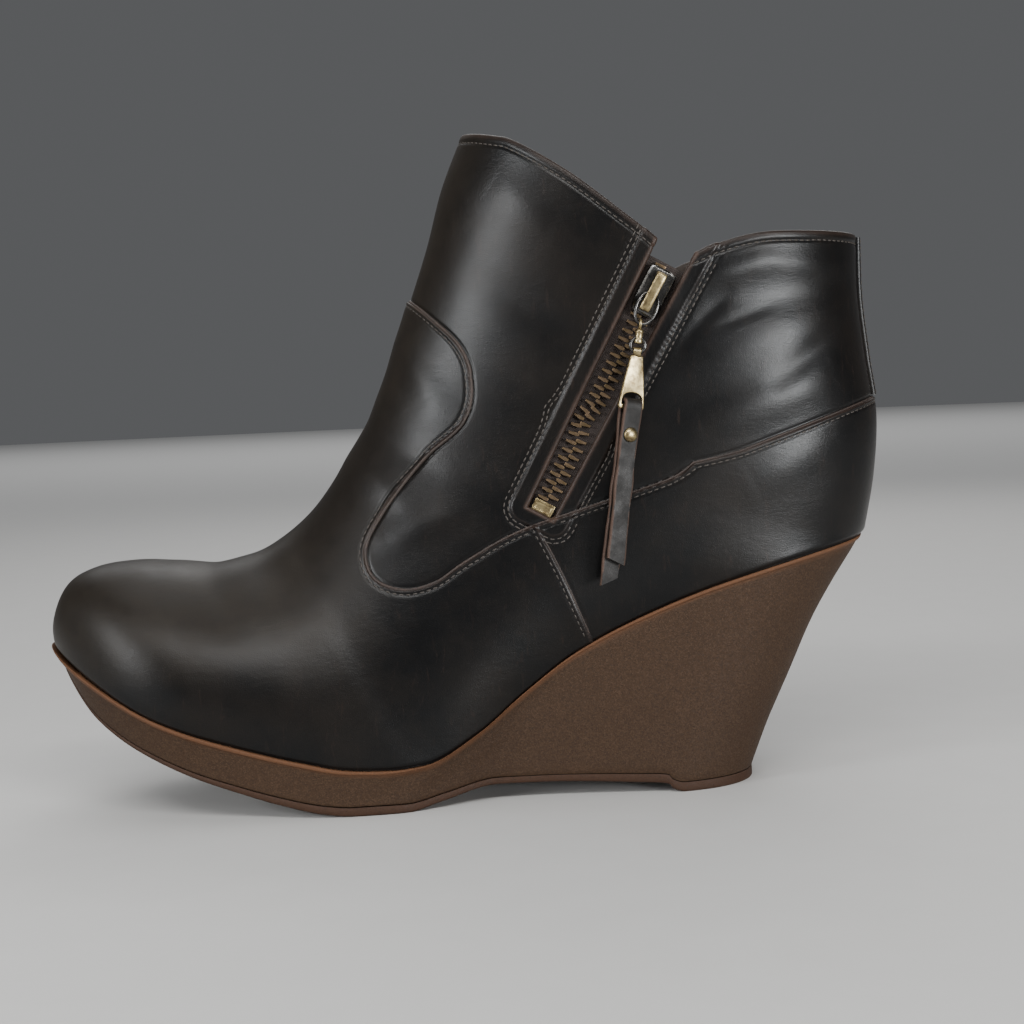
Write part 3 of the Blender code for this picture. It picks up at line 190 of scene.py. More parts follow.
BACK_SEAM = (
    (0.4815, 0), (0.495, 0.2), (0.5, 0.4), (0.4915, 0.6), (0.4845, 0.8),
    (0.484, 1),
)

COLLAR = (
    (0, 1), (0.08, 0.94), (0.24, 0.61), (0.42, 0.12), (0.53, -0.16),
    (0.61, -0.08), (0.72, 0), (0.86, 0.01), (1, 0),
)

# Sections from the lower line to the front line, as the solids have them
FAN = (
    (0, 0, 0.95, 0.93, 0.14, 2.4, 2),
    (0.046, 0.1, 0.955, 0.935, 0.14, 2.4, 2),
    (0.12, 0.18, 0.97, 0.95, 0.14, 2.3, 2),
    (0.215, 0.26, 0.99, 0.98, 0.14, 2.2, 2),
    (0.325, 0.335, 1, 1, 0.14, 2.05, 2),
    (0.49, 0.42, 0.925, 0.88, 0.18, 1.95, 2),
    (0.65, 0.5, 0.83, 0.765, 0.27, 1.95, 2),
    (0.82, 0.575, 0.795, 0.705, 0.38, 2, 2.1),
    (1, 0.7, 0.8, 0.71, 0.44, 2, 2.2),
    (1.31, 0.78, 0.815, 0.725, 0.47, 2.05, 2.25),
    (1.69, 0.89, 0.84, 0.745, 0.5, 2.1, 2.3),
    (2, 1, 0.86, 0.755, 0.5, 2.1, 2.3),
)

PLAN = (
    (-0.5, 0.94, 0.92), (-0.36, 0.96, 0.945), (-0.181, 1, 1),
    (-0.08, 0.965, 0.955), (-0.02, 0.885, 0.885), (0.068, 0.735, 0.765),
    (0.16, 0.695, 0.69), (0.26, 0.705, 0.655), (0.48, 0.72, 0.65),
)

BASE_PLAN = (
    (-0.49, 0.88, 0.87), (-0.36, 0.915, 0.905), (-0.181, 0.985, 0.985),
    (-0.09, 0.945, 0.935), (-0.04, 0.84, 0.845), (0.04, 0.665, 0.7),
    (0.12, 0.64, 0.62), (0.22, 0.65, 0.575), (0.34, 0.655, 0.575),
)

TREAD_EDGE = (
    (-0.49, 0.42), (-0.33, 0.62), (-0.11, 1.06), (0.02, 0.78), (0.12, 0.86),
    (0.24, 1.12), (0.34, 1.2),
)

WEDGE_BACK = (
    (0, 0), (0.15, 0.19), (0.345, 0.4), (0.56, 0.635), (0.75, 0.8),
    (0.95, 0.955), (1, 1),
)

# Edge where the vamp and counter panels lap over the shaft
PANEL_EDGE = (
    (-0.062, 0.79), (-0.024, 0.728), (0.012, 0.64), (0.024, 0.575), (0.011, 0.52),
    (-0.034, 0.5), (-0.086, 0.422), (-0.109, 0.356), (-0.1, 0.312), (-0.067, 0.29),
    (-0.03, 0.288), (0.004, 0.29), (0.06, 0.272), (0.13, 0.233), (0.23, 0.208),
    (0.37, 0.213), (0.5, 0.237), (0.54, 0.245),
)

# Seam between vamp and counter, in the side view
SIDE_SEAM = ((0.0185, 0.088), (0.0229, 0.0773), (0.0263, 0.0701), (0.0299, 0.062),
             (0.0327, 0.0548), (0.0368, 0.0445))


def column(table, index):
    return np.array([row[index] for row in table], float)


def follow(knots, values, x):
    """Smooth curve through a table's values that never overshoots them."""
    knots = np.asarray(knots, float)
    values = np.asarray(values, float)
    steps = np.diff(knots)
    slopes = np.diff(values) / steps
    bends = np.zeros(len(knots))
    same = slopes[:-1] * slopes[1:] > 0
    before = 2 * steps[1:] + steps[:-1]
    after = steps[1:] + 2 * steps[:-1]
    with np.errstate(divide="ignore", invalid="ignore"):
        mean = (before + after) / (before / slopes[:-1] + after / slopes[1:])
    bends[1:-1] = np.where(same, mean, 0.0)
    bends[0] = slopes[0]
    bends[-1] = slopes[-1]
    x = np.clip(np.asarray(x, float), knots[0], knots[-1])
    cell = np.clip(np.searchsorted(knots, x, side="right") - 1, 0, len(steps) - 1)
    t = (x - knots[cell]) / steps[cell]
    start = values[cell] * (1 + 2 * t) * (1 - t) ** 2 + bends[cell] * steps[cell] * t * (1 - t) ** 2
    end = values[cell + 1] * t * t * (3 - 2 * t) - bends[cell + 1] * steps[cell] * t * t * (1 - t)
    return start + end


def run_along(points):
    """Distance from the first point to each point of a line."""
    return np.concatenate([[0], np.cumsum(np.linalg.norm(np.diff(points, axis=0), axis=1))])


def unit(rows):
    return rows / np.linalg.norm(rows, axis=1, keepdims=True)


def even_line(points, count):
    """The same line with its points evenly spaced."""
    run = run_along(points)
    even = np.linspace(0, run[-1], count)
    return np.column_stack([np.interp(even, run, points[:, k]) for k in range(points.shape[1])])


def through(points, count=401):
    """Even points along a smooth curve through the given ones."""
    points = np.asarray(points, float)
    marks = np.concatenate([[0], np.cumsum(np.linalg.norm(np.diff(points, axis=0), axis=1) ** 0.5)])
    ends = np.vstack([2 * points[0] - points[1], points, 2 * points[-1] - points[-2]])
    places = np.concatenate([[-marks[1]], marks, [2 * marks[-1] - marks[-2]]])
    fine = []
    for i in range(1, len(points)):
        t0, t1, t2, t3 = places[i - 1 : i + 3]
        p0, p1, p2, p3 = ends[i - 1 : i + 3]
        t = np.linspace(t1, t2, 24, endpoint=i == len(points) - 1)[:, None]
        a = ((t1 - t) * p0 + (t - t0) * p1) / (t1 - t0)
        b = ((t2 - t) * p1 + (t - t1) * p2) / (t2 - t1)
        c = ((t3 - t) * p2 + (t - t2) * p3) / (t3 - t2)
        d = ((t2 - t) * a + (t - t0) * b) / (t2 - t0)
        e = ((t3 - t) * b + (t - t1) * c) / (t3 - t1)
        fine.append(((t2 - t) * d + (t - t1) * e) / (t2 - t1))
    return even_line(np.vstack(fine), count)


def along(line, share):
    """Point at a share of an evenly spaced line."""
    share = np.clip(np.asarray(share, float), 0, 1) * (len(line) - 1)
    steps = np.arange(len(line))
    return np.stack([np.interp(share, steps, line[:, k]) for k in range(line.shape[1])], axis=-1)


def rounded(t, power):
    """Falls from 1 to 0 like the end of an oval as t goes from 0 to 1."""
    return (1 - np.clip(t, 0, 1) ** power) ** (1 / power)


def feather_height(x):
    rise = column(FEATHER, 1) * TOE_RISE + column(FEATHER, 2) * HEEL_RISE
    return follow(column(FEATHER, 0) * LENGTH, PLATFORM + rise, x)


def tread_height(x):
    """Underside of the sole: toe spring, a flat tread, the arch and a flat heel lift."""
    knots = column(TREAD, 0) * LENGTH
    heights = column(TREAD, 1) * TREAD_TOE_RISE + column(TREAD, 2) * ARCH
    lift_front = knots[-1]
    flat = lift_front + LIFT_EDGE + LIFT_RAMP
    knots = np.append(knots, [lift_front + LIFT_EDGE, flat, HEEL_BASE_END])
    heights = np.append(heights, [max(heights[-1] - HEEL_LIFT_STEP, 0.0), 0.0, 0.0])
    return follow(knots, heights, x)


def parting_height(x):
    edge = follow(column(TREAD_EDGE, 0) * LENGTH, column(TREAD_EDGE, 1) * OUTSOLE, x)
    return tread_height(x) + edge


def above_feather(table):
    """Side-view points of a table whose heights count from the feather line."""
    x = column(table, 0) * LENGTH
    return np.column_stack([x, feather_height(x) + column(table, 1) * FRONT_HEIGHT])


TOE_X = -0.5 * LENGTH
SEAT_X = FEATHER[-1][0] * LENGTH
SEAT_Z = float(feather_height(SEAT_X))
RIDGE_LINE = through(above_feather(RIDGE), 1601)
BACK_LINE = through(
    np.column_stack([column(BACK_SEAM, 0) * LENGTH, SEAT_Z + column(BACK_SEAM, 1) * BACK_HEIGHT]), 801
)
PLACES = np.linspace(0, 1, len(FAN))
Y_SHIFT = (BALL_INNER - BALL_OUTER) / 2


def collar_line():
    front = RIDGE_LINE[-1]
    back = BACK_LINE[-1]
    x = front[0] + column(COLLAR, 0) * (back[0] - front[0])
    z = back[1] + column(COLLAR, 1) * (front[1] - back[1])
    return through(np.column_stack([x, z]))


COLLAR_LINE = collar_line()


def toe_closing(x):
    return rounded((TOE_X + TOE_ROUND - x) / TOE_ROUND, 1.75)


def heel_closing(x):
    return rounded((x - (SEAT_X - HEEL_ROUND)) / HEEL_ROUND, 2.0)


def plan_width(x, side):
    """Half-width of the upper where it meets the sole."""
    index, ball = (1, BALL_INNER) if side < 0 else (2, BALL_OUTER)
    wide = follow(column(PLAN, 0) * LENGTH, column(PLAN, index) * ball, x)
    return wide * toe_closing(x) * heel_closing(x)


def base_width(x, side):
    """Half-width of the sole's underside."""
    index, ball = (1, BALL_INNER) if side < 0 else (2, BALL_OUTER)
    heel = HEEL_BASE_WIDTH / 2 / (BALL_INNER * BASE_PLAN[-1][1])
    wide = follow(column(BASE_PLAN, 0) * LENGTH, column(BASE_PLAN, index) * ball, x)
    seat = np.clip((x - BASE_PLAN[-3][0] * LENGTH) / (0.1 * LENGTH), 0, 1)
    wide = wide * (1 + (heel - 1) * seat)
    tip = TREAD[0][0] * LENGTH
    toe = rounded((tip + TOE_ROUND - x) / TOE_ROUND, 1.75)
    back = rounded((x - (HEEL_BASE_END - HEEL_BASE_ROUND)) / HEEL_BASE_ROUND, 2.2)
    return wide * toe * back


def centre(x):
    """The boot's centre line, which swings to the inner side toward the toe."""
    t = np.clip((-0.18 * LENGTH - x) / (0.32 * LENGTH), 0, 1)
    return Y_SHIFT - TOE_SWING * t * t * (3 - 2 * t)


def fan_value(index, s):
    return follow(PLACES, column(FAN, index), s)


def fan_ends(s):
    """Lower and front end of the fan line at s, from 0 at the toe tip to 1 at the collar."""
    low = fan_value(0, s)
    x = TOE_X + np.clip(low, 0, 1) * (SEAT_X - TOE_X)
    on_sole = np.stack([x, feather_height(x)], axis=-1)
    on_back = along(BACK_LINE, low - 1)
    lower = np.where((low > 1)[..., None], on_back, on_sole)
    front = along(RIDGE_LINE, fan_value(1, s))
    return lower, front, low


def up_share(across):
    """Share of the fan line at a place across: 1 at the front line, 0 at the lower line."""
    return (1 + np.cos(np.pi * np.abs(across))) / 2


def soft_max(one, other, blend):
    return (one + other + np.sqrt((one - other) ** 2 + blend**2)) / 2


def form_point(s, across):
    """Point of the last's surface; across is -1 to 0 on the inner side, 0 to 1 on the outer."""
    s = np.asarray(s, float)
    across = np.asarray(across, float)
    lower, front, low = fan_ends(s)
    r = up_share(across)
    side_view = lower + r[..., None] * (front - lower)
    collar = COLLAR_WIDTH / 2 / (FAN[-1][2] * BALL_INNER)
    grow = (1 + (collar - 1) * np.clip(3 * s - 2, 0, 1)) * toe_closing(lower[..., 0])
    widest, above, below = (fan_value(index, s) for index in (4, 5, 6))
    half = np.zeros_like(r)
    for side, index, ball in ((-1, 2, BALL_INNER), (1, 3, BALL_OUTER)):
        wide = fan_value(index, s) * ball * grow
        at_sole = np.where(low > 1, 0.0, plan_width(lower[..., 0], side))
        wide = soft_max(wide, at_sole * 1.001 + 1e-7, 0.6 * MM)
        start = (1 - np.clip(at_sole / wide, 0, 1) ** below) ** (1 / below)
        up = np.clip((r - widest) / (1 - widest), 0, 1)
        down = np.clip((widest - r) / widest, 0, 1) * start
        top = (1 - up**above) ** (1 / above)
        under = (1 - down**below) ** (1 / below)
        half = np.where(np.sign(across) == side, side * wide * np.where(r > widest, top, under), half)
    x = side_view[..., 0]
    return np.stack([x, centre(x) + half, side_view[..., 1] + GAP], axis=-1)


def seat_turn(count=401):
    """Both ends of the soft stretch over the last's turn, on the line from the heel seat to the front."""
    across = np.linspace(-1, 1, count)
    place = form_point(np.full(count, SEAT_PLACE), across)
    reach = SEAT_SOFTNESS * np.clip((1 - np.abs(across)) / SEAT_FADE, 0.002, 1)
    ends = []
    for way in (-1, 1):
        s = SEAT_PLACE + way * np.linspace(0, 0.12, 241)
        rows = form_point(np.repeat(s[:, None], count, 1), np.repeat(across[None, :], len(s), 0))
        away = np.maximum.accumulate(np.linalg.norm(rows - place, axis=-1), axis=0)
        at = np.array([np.interp(reach[k], away[:, k], s) for k in range(count)])
        end = form_point(at, across)
        slope = way * (form_point(at + way * 0.003, across) - end)
        ends.append((at, end, slope / np.linalg.norm(slope, axis=-1, keepdims=True)))
    return across, ends


def wall_point(s, across):
    """Point of the upper's surface, its turn at the heel seat made soft."""
    points = form_point(s, across)
    knots, ends = SEAT_TURN
    at = np.broadcast_to(across, points.shape[:-1])
    s = np.broadcast_to(s, points.shape[:-1])

    def between(part):
        if part.ndim == 1:
            return np.interp(at, knots, part)
        return np.stack([np.interp(at, knots, part[:, k]) for k in range(3)], axis=-1)

    (low, start, away), (high, stop, onward) = [[between(part) for part in end] for end in ends]
    before = 0.5 * (s - low) / (SEAT_PLACE - low)
    after = 0.5 + 0.5 * (s - SEAT_PLACE) / (high - SEAT_PLACE)
    u = np.where(s < SEAT_PLACE, before, after)
    u = np.clip(u, 0, 1)[..., None]
    chord = np.linalg.norm(stop - start, axis=-1, keepdims=True)
    soft = ((1 + 2 * u) * (1 - u) ** 2 * start + u * (1 - u) ** 2 * chord * away
            + u * u * (3 - 2 * u) * stop - u * u * (1 - u) * chord * onward)
    return np.where(((s > low) & (s < high))[..., None], soft, points)


def wall_place(x, z):
    """The fan's s and the place across, without its side, of a point in the side view."""
    x = np.asarray(x, float)
    z = np.asarray(z, float)
    below = np.zeros_like(x)
    above = np.ones_like(x)
    for _ in range(34):
        s = (below + above) / 2
        lower, front, _ = fan_ends(s)
        line = front - lower
        turn = line[..., 0] * (z - lower[..., 1]) - line[..., 1] * (x - lower[..., 0])
        below = np.where(turn < 0, s, below)
        above = np.where(turn < 0, above, s)
    s = (below + above) / 2
    lower, front, _ = fan_ends(s)
    line = front - lower
    reach = (x - lower[..., 0]) * line[..., 0] + (z - lower[..., 1]) * line[..., 1]
    r = np.clip(reach / np.maximum((line**2).sum(-1), 1e-12), 0, 1)
    return s, np.arccos(np.clip(2 * r - 1, -1, 1)) / np.pi


def on_wall(x, z, h, side=-1):
    """Point and outward normal at a height h over the upper's surface, on one side."""
    step = 0.5 * MM
    corners = []
    for dx, dz in ((0, 0), (step, 0), (-step, 0), (0, step), (0, -step)):
        s, across = wall_place(x + dx, z + dz)
        corners.append(wall_point(s, side * across))
    tangent_x = corners[1] - corners[2]
    tangent_z = corners[3] - corners[4]
    normal = np.cross(tangent_x, tangent_z) * -side
    normal /= np.maximum(np.linalg.norm(normal, axis=-1, keepdims=True), 1e-12)
    return corners[0] + normal * np.asarray(h, float)[..., None], normal


S_FINE = np.linspace(0, 1, 4001)
LOW_FINE = fan_value(0, S_FINE)
SEAT_PLACE = float(np.interp(1.0, LOW_FINE, S_FINE))
SEAT_SOFTNESS = 0.009
SEAT_FADE = 0.14
SEAT_TURN = seat_turn()
ZIP_FOOT = np.array(
    [ZIP_FOOT_X * LENGTH, float(feather_height(ZIP_FOOT_X * LENGTH)) + ZIP_FOOT_HEIGHT * FRONT_HEIGHT]
)
ZIP_ALONG = np.array([math.sin(ZIP_SLANT), math.cos(ZIP_SLANT)])
ZIP_ACROSS = np.array([math.cos(ZIP_SLANT), -math.sin(ZIP_SLANT)])


def on_zip(a, b, h):
    """Point a along the zip, b across it and h over the leather's surface."""
    a = np.asarray(a, float)
    b = np.asarray(b, float)
    side = ZIP_FOOT + a[..., None] * ZIP_ALONG + b[..., None] * ZIP_ACROSS
    return on_wall(side[..., 0], side[..., 1], h)[0]


def slot_half_width(a):
    share = np.clip(np.asarray(a, float) / ZIP_SLOT_LENGTH, -0.1, 1.3)
    return (ZIP_SLOT_LOW + share * (ZIP_SLOT_HIGH - ZIP_SLOT_LOW)) / 2


def from_slot(x, z):
    """Distance outside the zip's slot in the side view, negative inside it."""
    flat = np.stack([x, z], axis=-1) - ZIP_FOOT
    a = flat @ ZIP_ALONG
    b = flat @ ZIP_ACROSS
    over = np.abs(b) - slot_half_width(a)
    outside = np.hypot(np.maximum(over, 0), np.maximum(-a, 0))
    return np.where((over < 0) & (a > 0), np.maximum(over, -a), outside)


# Meshes and objects


def show(name, mesh, material, body, stands_for=()):
    """Links a finished mesh as a piece of the boot, riding on a body."""
    obj = bpy.data.objects.new(name, mesh)
    bpy.context.scene.collection.objects.link(obj)
    if material is not None:
        mesh.materials.clear()
        mesh.materials.append(material)
    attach(obj, body)
    if stands_for:
        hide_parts(*stands_for)
    return obj


def make_mesh(name, points, faces, smooth=40, weld=True):
    mesh = bpy.data.meshes.new(name)
    mesh.from_pydata([tuple(map(float, p)) for p in points], [], [tuple(map(int, f)) for f in faces])
    if weld:
        work = bmesh.new()
        work.from_mesh(mesh)
        bmesh.ops.remove_doubles(work, verts=work.verts, dist=WELD)
        bmesh.ops.recalc_face_normals(work, faces=work.faces)
        work.to_mesh(mesh)
        work.free()
    mesh.shade_smooth()
    mesh.set_sharp_from_angle(angle=math.radians(smooth))
    return mesh


def side_faces(rows, cols, start=0, wrap=True):
    faces = []
    for i in range(rows - 1):
        for j in range(cols if wrap else cols - 1):
            k = (j + 1) % cols
            faces.append((start + i * cols + j, start + i * cols + k,
                          start + (i + 1) * cols + k, start + (i + 1) * cols + j))
    return faces


def cap_faces(cols, start, flip):
    """Closes a ring straight across, from its inner to its outer side."""
    faces = []
    for j in range(cols // 2):
        a, b = start + j, start + j + 1
        c, d = start + (cols - j - 1) % cols, start + (cols - j) % cols
        face = [p for n, p in enumerate((a, b, c, d)) if p not in (a, b, c, d)[:n]]
        faces.append(face[::-1] if flip else face)
    return faces


def grid_mesh(name, under, over, smooth=40):
    """Closed sheet between two grids of points."""
    rows, cols = under.shape[:2]
    total = rows * cols
    points = np.vstack([under.reshape(-1, 3), over.reshape(-1, 3)])
    faces = [f[::-1] for f in side_faces(rows, cols, 0, wrap=False)]
    faces += side_faces(rows, cols, total, wrap=False)
    rim = list(range(cols)) + [i * cols + cols - 1 for i in range(1, rows)]
    rim += [(rows - 1) * cols + j for j in range(cols - 2, -1, -1)]
    rim += [i * cols for i in range(rows - 2, 0, -1)]
    faces += [(rim[i], rim[(i + 1) % len(rim)], rim[(i + 1) % len(rim)] + total, rim[i] + total)
              for i in range(len(rim))]
    return make_mesh(name, points, faces, smooth)


def scratch(mesh):
    """Temporary object for modifiers."""
    obj = bpy.data.objects.new(mesh.name + "_work", mesh)
    bpy.context.scene.collection.objects.link(obj)
    return obj


def settle(obj, name):
    """Plain mesh of an object with its modifiers applied; the object is removed."""
    bpy.context.view_layer.update()
    shape = obj.evaluated_get(bpy.context.evaluated_depsgraph_get())
    mesh = bpy.data.meshes.new_from_object(shape)
    mesh.name = name
    old = obj.data
    bpy.data.objects.remove(obj)
    if isinstance(old, bpy.types.Mesh):
        bpy.data.meshes.remove(old)
    return mesh


def cut_and_join(base, parts, name, smooth=40, bevel=0.0, segments=2):
    """Joins meshes to a base or cuts them from it, in order, then rounds the edges."""
    obj = scratch(base)
    helpers = []
    for mesh, operation in parts:
        other = scratch(mesh)
        other.hide_render = True
        helpers.append(other)
        step = obj.modifiers.new(mesh.name, "BOOLEAN")
        step.operation = operation
        step.solver = "EXACT"
        step.object = other
    if bevel:
        step = obj.modifiers.new("rounding", "BEVEL")
        step.width = bevel
        step.segments = segments
        step.limit_method = "ANGLE"
        step.angle_limit = math.radians(35)
        step.harden_normals = False
    mesh = settle(obj, name)
    for other in helpers:
        old = other.data
        bpy.data.objects.remove(other)
        bpy.data.meshes.remove(old)
    mesh.shade_smooth()
    mesh.set_sharp_from_angle(angle=math.radians(smooth))
    return mesh


def way_along(points, closed):
    """Unit directions along a line."""
    if closed:
        return unit(np.roll(points, -1, axis=0) - np.roll(points, 1, axis=0))
    return unit(np.gradient(points, axis=0))


def sweep(name, path, outs, profile, closed, bold=None, smooth=60):
    """Solid strip along a path; profile is (across, up) pairs round its section, bold its size."""
    path = np.asarray(path)
    side = unit(np.cross(way_along(path, closed), outs))
    profile = np.asarray(profile, float)
    size = np.ones(len(path)) if bold is None else np.asarray(bold)
    profile = profile[None] * size[:, None, None]
    rings = path[:, None] + profile[..., :1] * side[:, None] + profile[..., 1:] * outs[:, None]
    rows, cols = rings.shape[:2]
    faces = side_faces(rows, cols)
    if closed:
        last = (rows - 1) * cols
        faces += [(last + j, last + (j + 1) % cols, (j + 1) % cols, j) for j in range(cols)]
    else:
        faces += [tuple(range(cols))[::-1], tuple(range((rows - 1) * cols, rows * cols))]
    return make_mesh(name, rings.reshape(-1, 3), faces, smooth)


def half_round(width, height, foot, count=7):
    """Section of a bead that stands on a surface, its foot sunk under it."""
    angles = np.linspace(0, math.pi, count)
    top = [(width / 2 * math.cos(t), height * math.sin(t) ** 0.8) for t in angles]
    return top + [(-width / 2, -foot), (width / 2, -foot)]


# Seams on the upper


def seam_path(flat, side):
    """Fan places of a side-view line, kept to the part that lies on the upper."""
    s, across = wall_place(flat[:, 0], flat[:, 1])
    inside = (across > 0.002) & (across < 0.998)
    return np.column_stack([s[inside], side * across[inside]])


def lifted(places, spacing):
    """Points on the upper's surface along fan places, evenly spaced."""
    fine = []
    for start, end in zip(places[:-1], places[1:]):
        t = np.linspace(0, 1, 8, endpoint=False)[:, None]
        fine.append(start + t * (end - start))
    fine = np.vstack(fine + [places[-1:]])
    line = wall_point(fine[:, 0], fine[:, 1])
    length = np.linalg.norm(np.diff(line, axis=0), axis=1).sum()
    return even_line(line, int(length / spacing) + 1)


def panel_loop():
    """The panels' edge all round the boot: inner side from front to back, then the outer side."""
    flat = through(above_feather(PANEL_EDGE), 500)
    inner = seam_path(flat, -1)
    front = [[inner[0, 0], 0.0]]
    back = [[inner[-1, 0], -1.0]]
    loop = np.vstack([front, inner, back])
    one = lifted(loop, SEAM_SPACING)
    loop[:, 1] *= -1
    other = lifted(loop, SEAM_SPACING)[::-1]
    return np.vstack([one, other[1:-1]])


def side_seam(side):
    line = through(np.array(SIDE_SEAM), 160)
    return lifted(seam_path(line, side), SEAM_SPACING)


def collar_place(across):
    """The fan's s where the collar's edge crosses a place across."""
    r = up_share(across)
    below = np.full_like(r, SEAT_PLACE)
    above = np.ones_like(r)
    for _ in range(40):
        s = (below + above) / 2
        lower, front, _ = fan_ends(s)
        point = lower + r[..., None] * (front - lower)
        under = point[..., 1] < np.interp(point[..., 0], COLLAR_LINE[:, 0], COLLAR_LINE[:, 1])
        below = np.where(under, s, below)
        above = np.where(under, above, s)
    return (below + above) / 2


def collar_path(drop, count=700):
    """Closed path round the collar, a distance below its edge."""
    across = np.linspace(-1, 1, count + 1)
    s = collar_place(across)
    points = wall_point(s, across)
    s = np.maximum(s - 0.01, 0)
    line = points + unit(wall_point(s, across) - points) * drop
    return even_line(line, count + 1)[:-1]


class Line:
    """Seam line that tells how far points are from it, and on which side."""

    def __init__(self, points, outs, closed):
        self.points = points
        self.tree = KDTree(len(points))
        for i, p in enumerate(points):
            self.tree.insert(p, i)
        self.tree.balance()
        self.tangent = way_along(points, closed)
        self.side = np.cross(self.tangent, outs)

    def distance(self, points):
        """Signed distance to the line, positive to the side on the path's right, seen from outside."""
        nearest = np.array([self.tree.find(p)[1] for p in points])
        away = points - self.points[nearest]
        flat = away - (away * self.tangent[nearest]).sum(1, keepdims=True) * self.tangent[nearest]
        ends = (nearest == 0) | (nearest == len(self.points) - 1)
        size = np.where(ends, np.linalg.norm(away, axis=1), np.linalg.norm(flat, axis=1))
        sign = np.where((away * self.side[nearest]).sum(1) > 0, 1.0, -1.0)
        return size * sign, nearest


def outward(points):
    """Outward directions of points on the upper, worked out from its surface."""
    s, across = wall_place(points[:, 0], points[:, 2] - GAP)
    across = across * np.where(points[:, 1] < centre(points[:, 0]), -1, 1)
    step = 0.004
    ds = wall_point(np.clip(s + step, 0, 1), across) - wall_point(np.clip(s - step, 0, 1), across)
    flat = np.clip(across, -1 + step, 1 - step)
    dt = wall_point(s, flat + step) - wall_point(s, flat - step)
    normal = np.cross(dt, ds)
    return normal / np.maximum(np.linalg.norm(normal, axis=1, keepdims=True), 1e-12)


# Soft folds in the leather, as (side, x, z, x, z, half-width, depth) in millimetres; side -1 is
# inner, 1 outer, 0 both
FOLDS = (
    (0, -76, 70, -66, 54, 4, -0.45),
    (0, -68, 72, -56, 56, 4.5, 0.28),
    (0, -60, 73, -46, 60, 4.5, -0.22),
    (-1, 72, 147, 90, 151, 3.5, 0.5),
    (-1, 88, 151, 112, 149, 3.5, 0.35),
    (-1, 68, 139, 112, 143, 5.5, -0.6),
    (-1, 60, 119, 109, 136, 5, 0.3),
    (-1, 92, 117, 112, 132, 3.5, -0.45),
    (-1, 70, 105, 108, 118, 6.5, 0.8),
    (-1, 84, 89, 108, 100, 6, 0.5),
    (-1, 78, 142, 64, 128, 2.2, -0.3),
    (-1, 72, 132, 90, 138, 1.8, -0.15),
    (0, -28, 112, -8, 96, 5, -0.6),
    (0, -33, 100, -14, 86, 4.2, 0.45),
    (0, -15, 132, -6, 117, 4.5, 0.55),
    (-1, -21, 77, -2, 84, 4.5, 0.55),
    (-1, 14, 176, 30, 164, 6, 0.5),
    (-1, 9, 150, 34, 132, 5, -0.4),
    (-1, 8, 96, 24, 80, 4.5, 0.35),
    (1, 100, 146, 60, 112, 7, -0.8),
    (1, 84, 134, 58, 108, 4, 0.45),
    (1, 70, 106, 108, 117, 6.5, 0.6),
    (1, 14, 174, 34, 160, 6, 0.45),
    (1, 20, 120, 40, 100, 6, -0.55),
)


def folds(x, z, side):
    """Height of the leather's soft folds over its smooth form."""
    total = np.zeros_like(x)
    for which, x0, z0, x1, z1, wide, depth in FOLDS:
        start = np.array([x0, z0]) * MM
        line = np.array([x1, z1]) * MM - start
        flat = np.stack([x, z], axis=-1) - start
        t = np.clip(flat @ line / (line @ line), 0, 1)
        d = np.linalg.norm(flat - t[..., None] * line, axis=-1)
        taper = np.sin(np.pi * np.clip(0.12 + 0.76 * t, 0, 1)) ** 0.8
        part = depth * MM * taper * np.exp(-((d / (wide * MM)) ** 2))
        total += part if which == 0 else np.where(np.sign(side) == which, part, 0.0)
    return total


def ramp(d, half):
    """Rises smoothly from 0 to 1 as d goes from -half to half."""
    t = np.clip((d / half + 1) / 2, 0, 1)
    return t * t * (3 - 2 * t)


def bead(d, place, half):
    return np.exp(-(((d - place) / half) ** 2))


